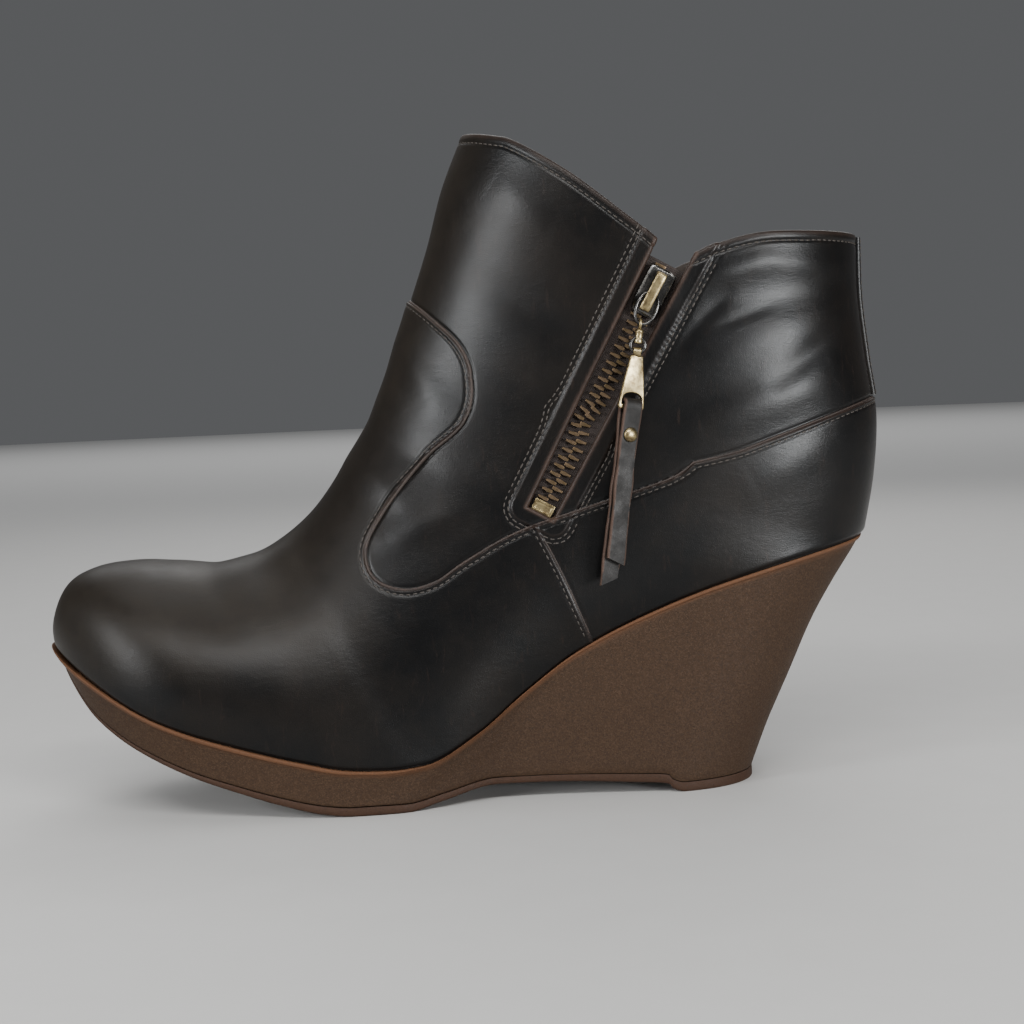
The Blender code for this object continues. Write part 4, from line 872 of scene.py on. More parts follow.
class Seams:
    """The upper's seam lines, worked out once."""

    def __init__(self):
        loop = panel_loop()
        self.panel = Line(loop, outward(loop), True)
        self.sides = []
        for side in (-1, 1):
            line = side_seam(side)
            self.sides.append((side, Line(line, outward(line), False)))
        edge = collar_path(0.0)
        self.collar = Line(edge, outward(edge), True)

    def relief(self, points, across):
        """Height of the finished leather over the smooth form, and how worn it is, with a faint painted highlight
        along the fold of the zip band.
        """
        d, _ = self.panel.distance(points)
        d = -d
        height = PANEL_STEP * ramp(d, 0.40 * MM) + 0.10 * MM * bead(d, 0.4 * MM, 0.4 * MM)
        height -= 0.20 * MM * bead(d, PANEL_ROW, 0.40 * MM) + 0.22 * MM * bead(d, -0.6 * MM, 0.45 * MM)
        wear_and_highlight = 0.30 * bead(d, 0.1 * MM, 0.35 * MM)
        panel = ramp(d, 0.45 * MM)
        for side, line in self.sides:
            e, _ = line.distance(points)
            e = np.where(np.sign(across) == side, e * side, 1.0)
            near = np.abs(e) < 9 * MM
            reach = np.where(near, 1.0, 0.0) * panel
            fall = bead(np.abs(e), 0, 3.5 * MM) * reach
            height += 0.42 * MM * fall * ramp(e, 0.4 * MM)
            height -= 0.16 * MM * reach * (bead(e, SIDE_ROW, 0.35 * MM) + bead(e, -0.5 * MM, 0.4 * MM))
            wear_and_highlight += 0.2 * reach * bead(e, 0.1 * MM, 0.35 * MM)
        c, _ = self.collar.distance(points)
        c = np.abs(c)
        height += 0.12 * MM * bead(c, 1.0 * MM, 0.7 * MM) - 0.22 * MM * bead(c, COLLAR_ROW, 0.45 * MM)
        wear_and_highlight += 0.22 * bead(c, 0, 0.7 * MM)
        inner = across < 0
        g = np.where(inner, from_slot(points[:, 0], points[:, 2] - GAP), 1.0)
        band = ramp(ZIP_BAND - g, 0.35 * MM) * inner
        height += 0.40 * MM * band + 0.12 * MM * bead(g, 3.5 * MM, 0.45 * MM)
        height -= 0.15 * MM * sum(bead(g, row, 0.35 * MM) for row in ZIP_ROWS)
        # Rubbed brown at the slot's edge; the faint bead along the band's fold, 3.7 mm out, is a painted
        # highlight.
        wear_and_highlight += 0.55 * bead(g, 0, 0.35 * MM) + 0.12 * bead(g, 3.7 * MM, 0.3 * MM)
        low = points[:, 2] - GAP - feather_height(points[:, 0])
        height -= 0.55 * MM * bead(low, 0, 0.8 * MM) * (points[:, 2] < SEAT_Z + 2 * MM)
        height += folds(points[:, 0], points[:, 2], across)
        return height, np.clip(wear_and_highlight, 0, 1)


def fan_rows(sole, back):
    low = np.concatenate([(1 - np.cos(np.pi * np.arange(sole + 1) / sole)) / 2,
                          1 + np.arange(1, back + 1) / back])
    low[0] = low[1] / 4
    return np.interp(low, LOW_FINE, S_FINE), low


def wall_cells(sole, back, cols, cuts=0):
    """Cells over the upper, with each point's place across; every side of a cell is cut cuts times."""
    s_rows, low = fan_rows(sole, back)
    across = np.linspace(-1, 1, 2 * cols + 1)
    end = collar_place(across)
    s = s_rows[:, None] * np.ones(len(across))
    above = (low > 1)[:, None]
    s = np.where(above, SEAT_PLACE + (s - SEAT_PLACE) * (end[None, :] - SEAT_PLACE) / (1 - SEAT_PLACE), s)
    t = np.broadcast_to(across, s.shape)
    work = bmesh.new()
    verts = [work.verts.new((a, b, 0.0)) for a, b in zip(s.ravel(), t.ravel())]
    rows, count = s.shape
    for f in side_faces(rows, count, 0, wrap=False):
        work.faces.new([verts[i] for i in f])
    work.faces.new([verts[i] for i in range(count)][::-1])
    if cuts:
        edges = [e for e in work.edges if any(len(f.verts) == 4 for f in e.link_faces)]
        bmesh.ops.subdivide_edges(work, edges=edges, cuts=cuts, use_grid_fill=True)
    layer = work.verts.layers.float.new("across")
    flat = np.array([v.co[:2] for v in work.verts])
    points = wall_point(flat[:, 0], flat[:, 1])
    for v, p, a in zip(work.verts, points, flat[:, 1]):
        v.co = p
        v[layer] = a
    bmesh.ops.remove_doubles(work, verts=work.verts, dist=WELD)
    bmesh.ops.dissolve_degenerate(work, edges=work.edges, dist=WELD)
    bmesh.ops.recalc_face_normals(work, faces=work.faces)
    return work, layer


def cut_slot(work, layer):
    """Opens the zip's slot in the inner wall."""
    top = ZIP_SLOT_LENGTH * 1.3

    def corner(a, b):
        flat = ZIP_FOOT + a * ZIP_ALONG + b * ZIP_ACROSS
        return Vector((flat[0], 0.0, flat[1]))

    cuts = [(corner(0, -slot_half_width(0)), corner(top, -slot_half_width(top))),
            (corner(0, slot_half_width(0)), corner(top, slot_half_width(top))),
            (corner(0, -0.01), corner(0, 0.01))]

    def within(f, distance):
        middle = f.calc_center_median()
        if middle.y >= Y_SHIFT or max(v[layer] for v in f.verts) > 0:
            return False
        return from_slot(np.array(middle.x), np.array(middle.z - GAP)) < distance

    for start, end in cuts:
        plane = (end - start).cross(Vector((0, 1, 0))).normalized()
        faces = [f for f in work.faces if within(f, 2.5 * MM)]
        edges = list({e for f in faces for e in f.edges})
        verts = list({v for f in faces for v in f.verts})
        bmesh.ops.bisect_plane(work, geom=faces + edges + verts, dist=1e-6,
                               plane_co=start + Vector((0, 0, GAP)), plane_no=plane)
    bmesh.ops.delete(work, geom=[f for f in work.faces if within(f, 0)], context="FACES")


def tuck_toe(mesh, amount):
    """Draws the very tip of the toe back a little, as the worn boot has it."""
    for v in mesh.vertices:
        t = min(max((TOE_TUCK_START - v.co.x) / TOE_TUCK_RUN, 0.0), 1.0)
        v.co.x += amount * t * t * (3 - 2 * t)
    mesh.update()


def rim_paths(faces, points, normals):
    """Border edges of a sheet and, for each border point, the way that leads off the sheet."""
    seen = {}
    for f in faces:
        for i, a in enumerate(f):
            b = f[(i + 1) % len(f)]
            key = (min(a, b), max(a, b))
            seen[key] = None if key in seen else (a, b)
    edges = [e for e in seen.values() if e is not None]
    away = {}
    for a, b in edges:
        line = points[b] - points[a]
        out = np.cross(line, (normals[a] + normals[b]) / 2)
        for p in (a, b):
            away[p] = away.get(p, 0) + out
    return edges, {p: v / max(np.linalg.norm(v), 1e-12) for p, v in away.items()}


def shell(name, sheet, layer, skin, depth, seams=None, rim_rows=5):
    """Closed leather or lining from the upper's sheet: skin and depth count inward from its surface."""
    mesh = bpy.data.meshes.new(name)
    sheet.to_mesh(mesh)
    normals = np.array([v.vector[:] for v in mesh.vertex_normals])
    across = np.array([v[layer] for v in sheet.verts])
    points = np.array([v.co[:] for v in sheet.verts])
    faces = [[v.index for v in f.verts] for f in sheet.faces]
    bpy.data.meshes.remove(mesh)
    soft = folds(points[:, 0], points[:, 2], across)
    height, wear_and_highlight = seams.relief(points, across) if seams else (soft, np.zeros(len(points)))
    outer = points + normals * (height - skin)[:, None]
    inner = points + normals * (soft - skin - depth)[:, None]
    edges, away = rim_paths(faces, points, normals)
    total = len(points)
    new_faces = [tuple(f) for f in faces] + [tuple(i + total for i in f[::-1]) for f in faces]
    rings = {}
    extra, extra_wear_and_highlight = [], []
    for p, way in away.items():
        middle = (outer[p] + inner[p]) / 2
        half = (outer[p] - inner[p]) / 2
        low_edge = abs(across[p]) > 0.999 and points[p][2] < feather_height(points[p][0]) + MM
        bulge = 0.0 if low_edge else np.linalg.norm(half) * 0.9
        row = [p]
        for k in range(1, rim_rows):
            angle = math.pi * k / rim_rows
            row.append(2 * total + len(extra))
            extra.append(middle + math.cos(angle) * half + math.sin(angle) * bulge * way)
            extra_wear_and_highlight.append(wear_and_highlight[p] * (0.6 + 0.4 * math.sin(angle)))
        rings[p] = row + [p + total]
    for a, b in edges:
        for k in range(rim_rows):
            new_faces.append((rings[b][k], rings[a][k], rings[a][k + 1], rings[b][k + 1]))
    mesh = bpy.data.meshes.new(name)
    mesh.from_pydata([tuple(p) for p in np.vstack([outer, inner, extra])], [], new_faces)
    # Edge wear and the painted highlight of the zip band's fold, kept on the points for the material.
    wear_and_highlight_shares = np.concatenate([wear_and_highlight, np.zeros(total), extra_wear_and_highlight])
    worn = mesh.attributes.new("worn", "FLOAT", "POINT")
    worn.data.foreach_set("value", wear_and_highlight_shares.astype(np.float32))
    mesh.shade_smooth()
    mesh.set_sharp_from_angle(angle=math.radians(50))
    return mesh


# Materials


def put(node, inputs):
    """Links or sets a node's own sockets."""
    for key, value in inputs.items():
        socket = node.inputs[key]
        if isinstance(value, bpy.types.NodeSocket):
            node.id_data.links.new(value, socket)
        else:
            socket.default_value = value


def add(tree, kind, inputs=None, **settings):
    """New node with its settings, values and links."""
    made = tree.nodes.new(kind)
    for key, value in settings.items():
        setattr(made, key, value)
    put(made, inputs or {})
    return made


def start_material(name):
    made = bpy.data.materials.new(name)
    made.use_nodes = True
    return made, add(made.node_tree, "ShaderNodeTexCoord").outputs["Object"]


def noise(place, scale, detail=3.0, roughness=0.55, distortion=0.0):
    made = add(place.id_data, "ShaderNodeTexNoise", {
        "Vector": place, "Scale": scale, "Detail": detail, "Roughness": roughness, "Distortion": distortion})
    return made.outputs["Fac"]


def spread(value, low, high, to_low=0.0, to_high=1.0):
    made = add(value.id_data, "ShaderNodeMapRange", {
        "Value": value, "From Min": low, "From Max": high, "To Min": to_low, "To Max": to_high})
    return made.outputs["Result"]


def mixed(factor, one, other):
    """Colour between two colours."""
    pair = [v if isinstance(v, bpy.types.NodeSocket) else (*v[:3], 1.0) for v in (one, other)]
    made = add(factor.id_data, "ShaderNodeMix", data_type="RGBA")
    put(made, {0: factor, 6: pair[0], 7: pair[1]})
    return made.outputs[2]


def maths(operation, one, other, clamp=False):
    made = add(one.id_data, "ShaderNodeMath", {0: one, 1: other}, operation=operation, use_clamp=clamp)
    return made.outputs[0]


def stretched(place, scale, turn=(0, 0, 0)):
    made = add(place.id_data, "ShaderNodeMapping", {"Vector": place, "Scale": scale, "Rotation": turn})
    return made.outputs[0]


def bumps(layers):
    """Chain of bumps, each (height, strength, distance)."""
    normal = None
    for height, strength, distance in layers:
        inputs = {"Height": height, "Strength": strength, "Distance": distance}
        if normal is not None:
            inputs["Normal"] = normal
        normal = add(height.id_data, "ShaderNodeBump", inputs).outputs["Normal"]
    return normal


def finish(made, layers, sockets):
    """Sets or links the shader's own sockets, with a chain of bumps as its normal."""
    shader = made.node_tree.nodes["Principled BSDF"]
    put(shader, {"Normal": bumps(layers), **sockets})
    return made


def worn_share(place, name="worn"):
    """The mesh's own value that says how worn, cut or raised a place is; on the wedge's lip and along the zip
    band's fold it carries a painted highlight.
    """
    return add(place.id_data, "ShaderNodeAttribute", attribute_name=name).outputs["Fac"]


def toned(colour, factor):
    return tuple(min(1.0, factor * c) for c in colour)


def leather_material(looks):
    made, place = start_material("waxed_leather")
    worn = worn_share(place)
    broad = noise(place, 22.0, 4.0, 0.6)
    patchy = noise(place, 140.0, 4.0, 0.65)
    cells = add(place.id_data, "ShaderNodeTexVoronoi", {"Vector": place, "Scale": 2000.0},
                feature="DISTANCE_TO_EDGE").outputs["Distance"]
    grain = noise(place, 3600.0, 3.0, 0.6)
    pores = noise(place, 900.0, 4.0, 0.62)
    wrinkle_place = stretched(place, (1.0, 1.0, 2.4), (0.0, math.radians(24), 0.0))
    wrinkle = noise(wrinkle_place, 170.0, 4.0, 0.58, 0.6)
    scuff_place = stretched(place, (6.0, 2.0, 1.0), (0.0, math.radians(-38), 0.0))
    scuff = spread(noise(scuff_place, 130.0, 3.0, 0.6, 1.2), 0.60, 0.78)
    base = mixed(spread(broad, 0.42, 0.70), looks.leather, looks.leather_warm)
    speck = mixed(spread(patchy, 0.45, 0.75, 0.0, 0.35), base, looks.leather_warm)
    lighter = mixed(maths("MULTIPLY", scuff, 0.16), speck, looks.raw_edge)
    parts = add(place.id_data, "ShaderNodeSeparateXYZ", {"Vector": place}).outputs
    toe = maths("MULTIPLY", spread(parts["Z"], 0.038, 0.054),
                spread(parts["X"], -0.020, -0.048))
    behind_shin = maths("SUBTRACT", parts["X"], maths("MULTIPLY", parts["Z"], 0.33))
    shin = maths("MULTIPLY", spread(behind_shin, -0.045, -0.058),
                 spread(parts["Z"], 0.09, 0.12))
    dull = maths("MULTIPLY", maths("ADD", toe, shin),
                 spread(patchy, 0.2, 0.6, 0.6, 1.0), clamp=True)
    waxed = mixed(dull, lighter, looks.leather_dull)
    # Raw-edge brown where the leather is worn at its edges, and faintly along the zip band's fold as a painted
    # highlight.
    edge_wear_and_highlight = maths("MULTIPLY", worn, spread(patchy, 0.25, 0.6, 0.55, 1.25), clamp=True)
    colour = mixed(edge_wear_and_highlight, waxed, looks.raw_edge)
    rough = maths("ADD", spread(broad, 0.35, 0.7, 0.25, 0.34),
                  maths("MULTIPLY", patchy, 0.08))
    rough = maths("ADD", rough, maths("MULTIPLY", dull, 0.12))
    rough = maths("ADD", rough, maths("MULTIPLY", worn, 0.25))
    layers = [(wrinkle, 0.05, 0.0012), (pores, 0.10, 0.00020), (cells, 0.34, 0.00011),
              (grain, 0.20, 0.00006)]
    return finish(made, layers, {"Base Color": colour, "Roughness": rough, "Specular IOR Level": 0.21,
                                 "Coat Weight": 0.03, "Coat Roughness": 0.30, "Sheen Weight": 0.01,
                                 "Sheen Roughness": 0.5, "Sheen Tint": (0.55, 0.42, 0.30, 1.0)})


def strap_material(looks):
    made, place = start_material("strap_leather")
    cut = worn_share(place)
    fibres = noise(place, 1500.0, 5.0, 0.7)
    broad = noise(place, 240.0, 4.0, 0.6)
    pores = noise(place, 3200.0, 3.0, 0.6)
    face = mixed(spread(broad, 0.35, 0.7), looks.strap, toned(looks.strap, 0.45))
    face = mixed(spread(fibres, 0.55, 0.8, 0.0, 0.25), face, looks.raw_edge)
    edge = mixed(spread(fibres, 0.3, 0.7), looks.raw_edge, toned(looks.raw_edge, 1.3))
    return finish(made, [(broad, 0.15, 0.0004), (fibres, 0.20, 0.0002), (pores, 0.20, 0.00008)],
                  {"Base Color": mixed(cut, face, edge),
                   "Roughness": spread(broad, 0.3, 0.7, 0.42, 0.62), "Specular IOR Level": 0.26})


def raw_edge_material(looks):
    made, place = start_material("raw_leather_edge")
    fibres = noise(place, 1500.0, 5.0, 0.7)
    broad = noise(place, 160.0, 4.0, 0.6)
    colour = mixed(spread(fibres, 0.3, 0.72), looks.leather_warm, looks.raw_edge)
    colour = mixed(spread(broad, 0.40, 0.66, 0.0, 0.45), colour, looks.leather)
    return finish(made, [(fibres, 0.6, 0.00025)], {"Base Color": colour, "Roughness": 0.62})


def lining_material(looks):
    made, place = start_material("lining_leather")
    grain = noise(place, 1300.0, 5.0, 0.65)
    broad = noise(place, 40.0, 4.0, 0.55)
    colour = mixed(spread(broad, 0.3, 0.7), looks.lining, toned(looks.lining, 0.62))
    return finish(made, [(broad, 0.2, 0.001), (grain, 0.35, 0.0003)],
                  {"Base Color": colour, "Roughness": spread(grain, 0.3, 0.7, 0.62, 0.82),
                   "Sheen Weight": 0.15})


def foam_material(name, base, dark, light, lip):
    """Speckled foam: dark and pale crumbs in a brown ground, with a painted highlight in a warmer, paler colour on
    its upper lip.
    """
    made, place = start_material(name)
    crumbs = add(place.id_data, "ShaderNodeTexVoronoi", {"Vector": place, "Scale": 3100.0})
    tone = add(place.id_data, "ShaderNodeSeparateColor", {"Color": crumbs.outputs["Color"]}).outputs[0]
    broad = noise(place, 26.0, 4.0, 0.6)
    fine = noise(place, 4200.0, 2.0, 0.6)
    pits = noise(place, 1700.0, 3.0, 0.6)
    colour = mixed(spread(tone, 0.60, 0.95, 0.0, 0.42), base, light)
    colour = mixed(spread(tone, 0.30, 0.05, 0.0, 0.50), colour, dark)
    colour = mixed(spread(fine, 0.40, 0.72, 0.0, 0.35), colour, dark)
    colour = mixed(spread(broad, 0.42, 0.72, 0.0, 0.16), colour, dark)
    # Painted highlight: the lip's top ledge is painted paler and warmer where light catches it.
    edge = maths("MULTIPLY", worn_share(place, "lip"), spread(pits, 0.3, 0.6, 0.6, 1.0))
    colour = mixed(edge, colour, lip)
    layers = [(pits, 0.45, 0.00022), (crumbs.outputs["Distance"], 0.25, 0.00010), (fine, 0.25, 0.00006)]
    return finish(made, layers, {"Base Color": colour, "Specular IOR Level": 0.24,
                                 "Roughness": spread(pits, 0.3, 0.7, 0.58, 0.80)})


def metal_material(name, colour, dark, roughness):
    """Plated metal, darker in patches and brushed lightly."""
    made, place = start_material(name)
    broad = noise(place, 420.0, 5.0, 0.65)
    fine = noise(stretched(place, (1.0, 1.0, 6.0)), 2400.0, 3.0, 0.6)
    tone = mixed(spread(broad, 0.38, 0.68), colour, dark)
    rough = maths("ADD", spread(fine, 0.3, 0.7, roughness - 0.06, roughness + 0.08),
                  maths("MULTIPLY", broad, 0.10))
    return finish(made, [(broad, 0.10, 0.00012), (fine, 0.12, 0.00005)],
                  {"Base Color": tone, "Roughness": rough, "Metallic": 1.0})


def tape_material(looks):
    made, place = start_material("zip_tape_weave")
    turned = stretched(place, (1.0, 1.0, 1.0), (0.0, -ZIP_SLANT, 0.0))
    warp, weft = (
        add(place.id_data, "ShaderNodeTexWave", {"Vector": turned, "Scale": scale, "Distortion": 0.6},
            bands_direction=way).outputs["Fac"]
        for scale, way in ((620.0, "X"), (520.0, "Z")))
    weave = maths("MULTIPLY", warp, weft)
    return finish(made, [(weave, 0.6, 0.0002)],
                  {"Base Color": mixed(weave, looks.tape, toned(looks.tape, 2.4)), "Roughness": 0.85,
                   "Sheen Weight": 0.2})


def thread_material(looks):
    made, place = start_material("waxed_thread")
    twist = noise(place, 3200.0, 3.0, 0.6)
    colour = mixed(spread(twist, 0.35, 0.7), looks.thread, toned(looks.thread, 0.45))
    return finish(made, [(twist, 0.5, 0.0001)], {"Base Color": colour, "Roughness": 0.55})


MATERIALS = {}


def finishes(looks):
    """All the boot's materials, made once."""
    if not MATERIALS:
        dark = looks.foam_dark
        MATERIALS.update(
            leather=leather_material(looks),
            edge=raw_edge_material(looks),
            strap=strap_material(looks),
            lining=lining_material(looks),
            # The wedge's rim colour is the painted highlight of its top ledge.
            foam=foam_material("speckled_foam", looks.foam, dark, looks.foam_light, looks.rim),
            rubber=foam_material("speckled_rubber", looks.rubber, dark, looks.foam, looks.rubber),
            tape=tape_material(looks),
            thread=thread_material(looks),
            brass=metal_material("antique_brass", looks.brass, looks.brass_dark, 0.30),
            bronze=metal_material("antique_bronze", looks.bronze, looks.brass_dark, 0.32),
            dark_metal=metal_material("gunmetal", looks.gunmetal, (0.030, 0.029, 0.029), 0.22),
        )
    return MATERIALS


# Geometry Nodes


def new_tree(name, inputs):
    tree = bpy.data.node_groups.new(name, "GeometryNodeTree")
    tree.interface.new_socket("Geometry", in_out="INPUT", socket_type="NodeSocketGeometry")
    for label, kind, default in inputs:
        socket = tree.interface.new_socket(label, in_out="INPUT", socket_type=kind)
        if default is not None:
            socket.default_value = default
    tree.interface.new_socket("Geometry", in_out="OUTPUT", socket_type="NodeSocketGeometry")
    return tree, tree.nodes.new("NodeGroupInput"), tree.nodes.new("NodeGroupOutput")


def placed_along(tree, source, pitch, instance, material, output):
    """Instances along the path, standing on it by its "out" direction, made real."""
    curve = add(tree, "GeometryNodeMeshToCurve", {"Mesh": source})
    even = add(tree, "GeometryNodeResampleCurve", {"Curve": curve.outputs[0], "Length": pitch},
               mode="LENGTH")
    tangent = add(tree, "GeometryNodeInputTangent").outputs[0]
    out = add(tree, "GeometryNodeInputNamedAttribute", {"Name": "out"}, data_type="FLOAT_VECTOR").outputs[0]
    lie = add(tree, "FunctionNodeAlignRotationToVector", {"Vector": tangent}, axis="X")
    stand = add(tree, "FunctionNodeAlignRotationToVector", {"Rotation": lie.outputs[0], "Vector": out},
                axis="Z", pivot_axis="X")
    placed = add(tree, "GeometryNodeInstanceOnPoints",
                 {"Points": even.outputs[0], "Instance": instance, "Rotation": stand.outputs[0]})
    real = add(tree, "GeometryNodeRealizeInstances", {"Geometry": placed.outputs[0]})
    finish = add(tree, "GeometryNodeSetMaterial", {"Geometry": real.outputs[0], "Material": material})
    tree.links.new(finish.outputs[0], output.inputs[0])


def stitch_tree():
    """A row of stitches: small arched threads, their ends sunk in the leather."""
    tree, given, output = new_tree("stitch_row", [
        ("Pitch", "NodeSocketFloat", 0.0026), ("Stitch Length", "NodeSocketFloat", 0.0020),
        ("Thread", "NodeSocketFloat", 0.0005), ("Rise", "NodeSocketFloat", 0.0004),
        ("Material", "NodeSocketMaterial", None)])
    length, thick = given.outputs["Stitch Length"], given.outputs["Thread"]
    half, back, sink, radius = (
        maths("MULTIPLY", size, share)
        for size, share in ((length, 0.5), (length, -0.5), (thick, -0.6), (thick, 0.5)))
    start, middle, end = (
        add(tree, "ShaderNodeCombineXYZ", place).outputs[0]
        for place in ({"X": back, "Z": sink}, {"Z": given.outputs["Rise"]}, {"X": half, "Z": sink}))
    arch = add(tree, "GeometryNodeCurveQuadraticBezier",
               {"Resolution": 5, "Start": start, "Middle": middle, "End": end})
    section = add(tree, "GeometryNodeCurvePrimitiveCircle", {"Resolution": 6, "Radius": radius})
    thread = add(tree, "GeometryNodeCurveToMesh",
                 {"Curve": arch.outputs[0], "Profile Curve": section.outputs[0], "Fill Caps": True})
    smooth = add(tree, "GeometryNodeSetShadeSmooth", {"Geometry": thread.outputs[0]})
    placed_along(tree, given.outputs["Geometry"], given.outputs["Pitch"], smooth.outputs[0],
                 given.outputs["Material"], output)
    return tree


def tooth_tree():
    """A row of zip teeth, one for each pitch along its side of the chain."""
    tree, given, output = new_tree("tooth_row", [
        ("Pitch", "NodeSocketFloat", TOOTH_PITCH), ("Tooth", "NodeSocketObject", None),
        ("Material", "NodeSocketMaterial", None)])
    tooth = add(tree, "GeometryNodeObjectInfo", {"Object": given.outputs["Tooth"]})
    placed_along(tree, given.outputs["Geometry"], given.outputs["Pitch"], tooth.outputs["Geometry"],
                 given.outputs["Material"], output)
    return tree


def grown(name, rows, tree, values):
    """Plain mesh that a tree makes from path rows of (points, outs, closed)."""
    points, outs, edges = [], [], []
    for line, out, closed in rows:
        start = len(points)
        points += [tuple(p) for p in line]
        outs += [tuple(p) for p in out]
        edges += [(start + i, start + i + 1) for i in range(len(line) - 1)]
        if closed:
            edges.append((start + len(line) - 1, start))
    mesh = bpy.data.meshes.new(name + "_path")
    mesh.from_pydata(points, edges, [])
    layer = mesh.attributes.new("out", "FLOAT_VECTOR", "POINT")
    layer.data.foreach_set("vector", np.array(outs, np.float32).ravel())
    obj = scratch(mesh)
    step = obj.modifiers.new("grow", "NODES")
    step.node_group = tree
    for item in tree.interface.items_tree:
        if item.in_out == "INPUT" and item.name in values:
            step[item.identifier] = values[item.name]
    return settle(obj, name)


# Sole


def sole_shares(sections):
    """Stations along the sole: crowded at both ends, with one at each edge of its flats."""
    ends = (TREAD[0][0] * LENGTH, HEEL_BASE_END)
    lift = TREAD[-1][0] * LENGTH
    edges = [TREAD[6][0] * LENGTH, TREAD[7][0] * LENGTH, lift, lift + LIFT_EDGE,
             lift + LIFT_EDGE + LIFT_RAMP]
    keys = [(x - ends[0]) / (ends[1] - ends[0]) for x in edges]
    even = (1 - np.cos(np.pi * np.arange(sections + 1) / sections)) / 2
    kept = [u for u in even if min(abs(u - key) for key in keys) > 0.3 / sections]
    return np.sort(np.array(kept + keys))


def feather_line(u):
    x = TOE_X + np.asarray(u, float) * (SEAT_X - TOE_X)
    return np.stack([x, feather_height(x)], axis=-1)


def sole_line(height, u):
    x = TREAD[0][0] * LENGTH + np.asarray(u, float) * (HEEL_BASE_END - TREAD[0][0] * LENGTH)
    return np.stack([x, height(x)], axis=-1)


def base_at(u, side):
    return base_width(sole_line(tread_height, u)[..., 0], side)


def top_at(u, side):
    x = feather_line(u)[..., 0]
    return plan_width(x, side) + SOLE_EDGE * rounded(np.abs(2 * u - 1), 8)


def patch(bottom, top, left, right, u, v):
    """Points between four lines that meet at their corners."""
    u = np.asarray(u, float)[..., None]
    v = np.asarray(v, float)[..., None]
    corners = ((1 - u) * (1 - v) * bottom(0.0) + u * (1 - v) * bottom(1.0)
               + (1 - u) * v * top(0.0) + u * v * top(1.0))
    across = (1 - v) * bottom(u[..., 0]) + v * top(u[..., 0])
    upright = (1 - u) * left(v[..., 0]) + u * right(v[..., 0])
    return across + upright - corners


def straight(start, end):
    return lambda t: start + np.asarray(t, float)[..., None] * (end - start)


def wedge_back(t):
    start = sole_line(parting_height, 1.0)
    end = feather_line(1.0)
    line = through(np.array(WEDGE_BACK), 401)
    return start + along(line, t) * (end - start)


def ring(side_points, widths):
    """Closes inner and outer side points into rings that end in a point at toe and heel."""
    for wide in widths:
        wide[:, [0, -1]] = 0.0
    inner, outer = widths
    x = side_points[..., 0]
    z = side_points[..., 1]
    one = np.stack([x, centre(x) - inner, z], axis=-1)
    other = np.stack([x, centre(x) + outer, z], axis=-1)
    return np.concatenate([one, other[:, -2:0:-1]], axis=1)


def filled(name, rings, smooth=40):
    rows, cols = rings.shape[:2]
    faces = side_faces(rows, cols)
    faces += cap_faces(cols, 0, True)
    faces += cap_faces(cols, (rows - 1) * cols, False)
    return make_mesh(name, rings.reshape(-1, 3), faces, smooth)


def wedge_mesh(sections):
    u = sole_shares(sections)
    heights = feather_line(u)[:, 1] - sole_line(parting_height, u)[:, 1]
    rim = np.clip(RIM / heights, 0.02, 0.45)
    body = np.concatenate([[0.0, 0.012, 0.03], np.linspace(0.08, 0.92, 16), [0.97, 0.99]])
    rows = [(1 - rim) * share for share in body]
    lips = [-0.8 if share == 0 else -0.25 if share < 0.02 else 0.0 for share in body]
    for place, lip in ((0.0, 0.25), (0.08, 0.85), (0.3, 1.0), (0.7, 1.0), (0.92, 0.8), (1.0, 0.35)):
        rows.append(1 - rim + rim * place)
        lips.append(lip)
    v = np.array(rows)
    grid = np.broadcast_to(u, v.shape)
    lip = RIM_LIP * np.array(lips)[:, None] * np.ones_like(v)
    left = straight(sole_line(parting_height, 0.0), feather_line(0.0))
    side = patch(lambda t: sole_line(parting_height, t), feather_line, left, wedge_back, grid, v)
    widths = [(1 - v) * base_at(grid, s) + v * top_at(grid, s) for s in (-1, 1)]
    widths = [wide * (1 + lip / BALL_INNER) for wide in widths]
    side = side.copy()
    side[..., 0] += np.maximum(lip, 0) * (2 * grid - 1) ** 3
    points = ring(side, widths)
    points[0, :, 2] = parting_height(np.minimum(points[0, :, 0], HEEL_BASE_END))
    points[-1, :, 2] = feather_height(points[-1, :, 0])
    mesh = filled("wedge", points, 60)
    # Mask of the painted highlight along the wedge's top ledge.
    lip_highlight_mask = mesh.attributes.new("lip", "FLOAT", "POINT")
    for i, v in enumerate(mesh.vertices):
        top = float(feather_height(min(v.co.x, SEAT_X)))
        lip_highlight_mask.data[i].value = min(max(1.6 - (top - v.co.z) / RIM, 0.0), 1.0)
    return mesh


def outsole_mesh(sections):
    u = sole_shares(sections)
    shares = np.array([0.0, 0.10, 0.25, 0.5, 0.8, 0.94, 1.0])
    lips = np.array([-1.2, -0.35, 0.0, 0.1, 0.0, -0.3, -0.9]) * RIM_LIP
    v = shares[:, None] * np.ones_like(u)
    grid = np.broadcast_to(u, v.shape)
    low = sole_line(tread_height, grid)
    high = sole_line(parting_height, grid)
    side = low + (high - low) * v[..., None]
    widths = [base_at(grid, s) * (1 + lips[:, None] / BALL_INNER) for s in (-1, 1)]
    points = ring(side, widths)
    points[-1, :, 2] -= GAP
    return filled("outsole_layer", points, 60)


# Backstay


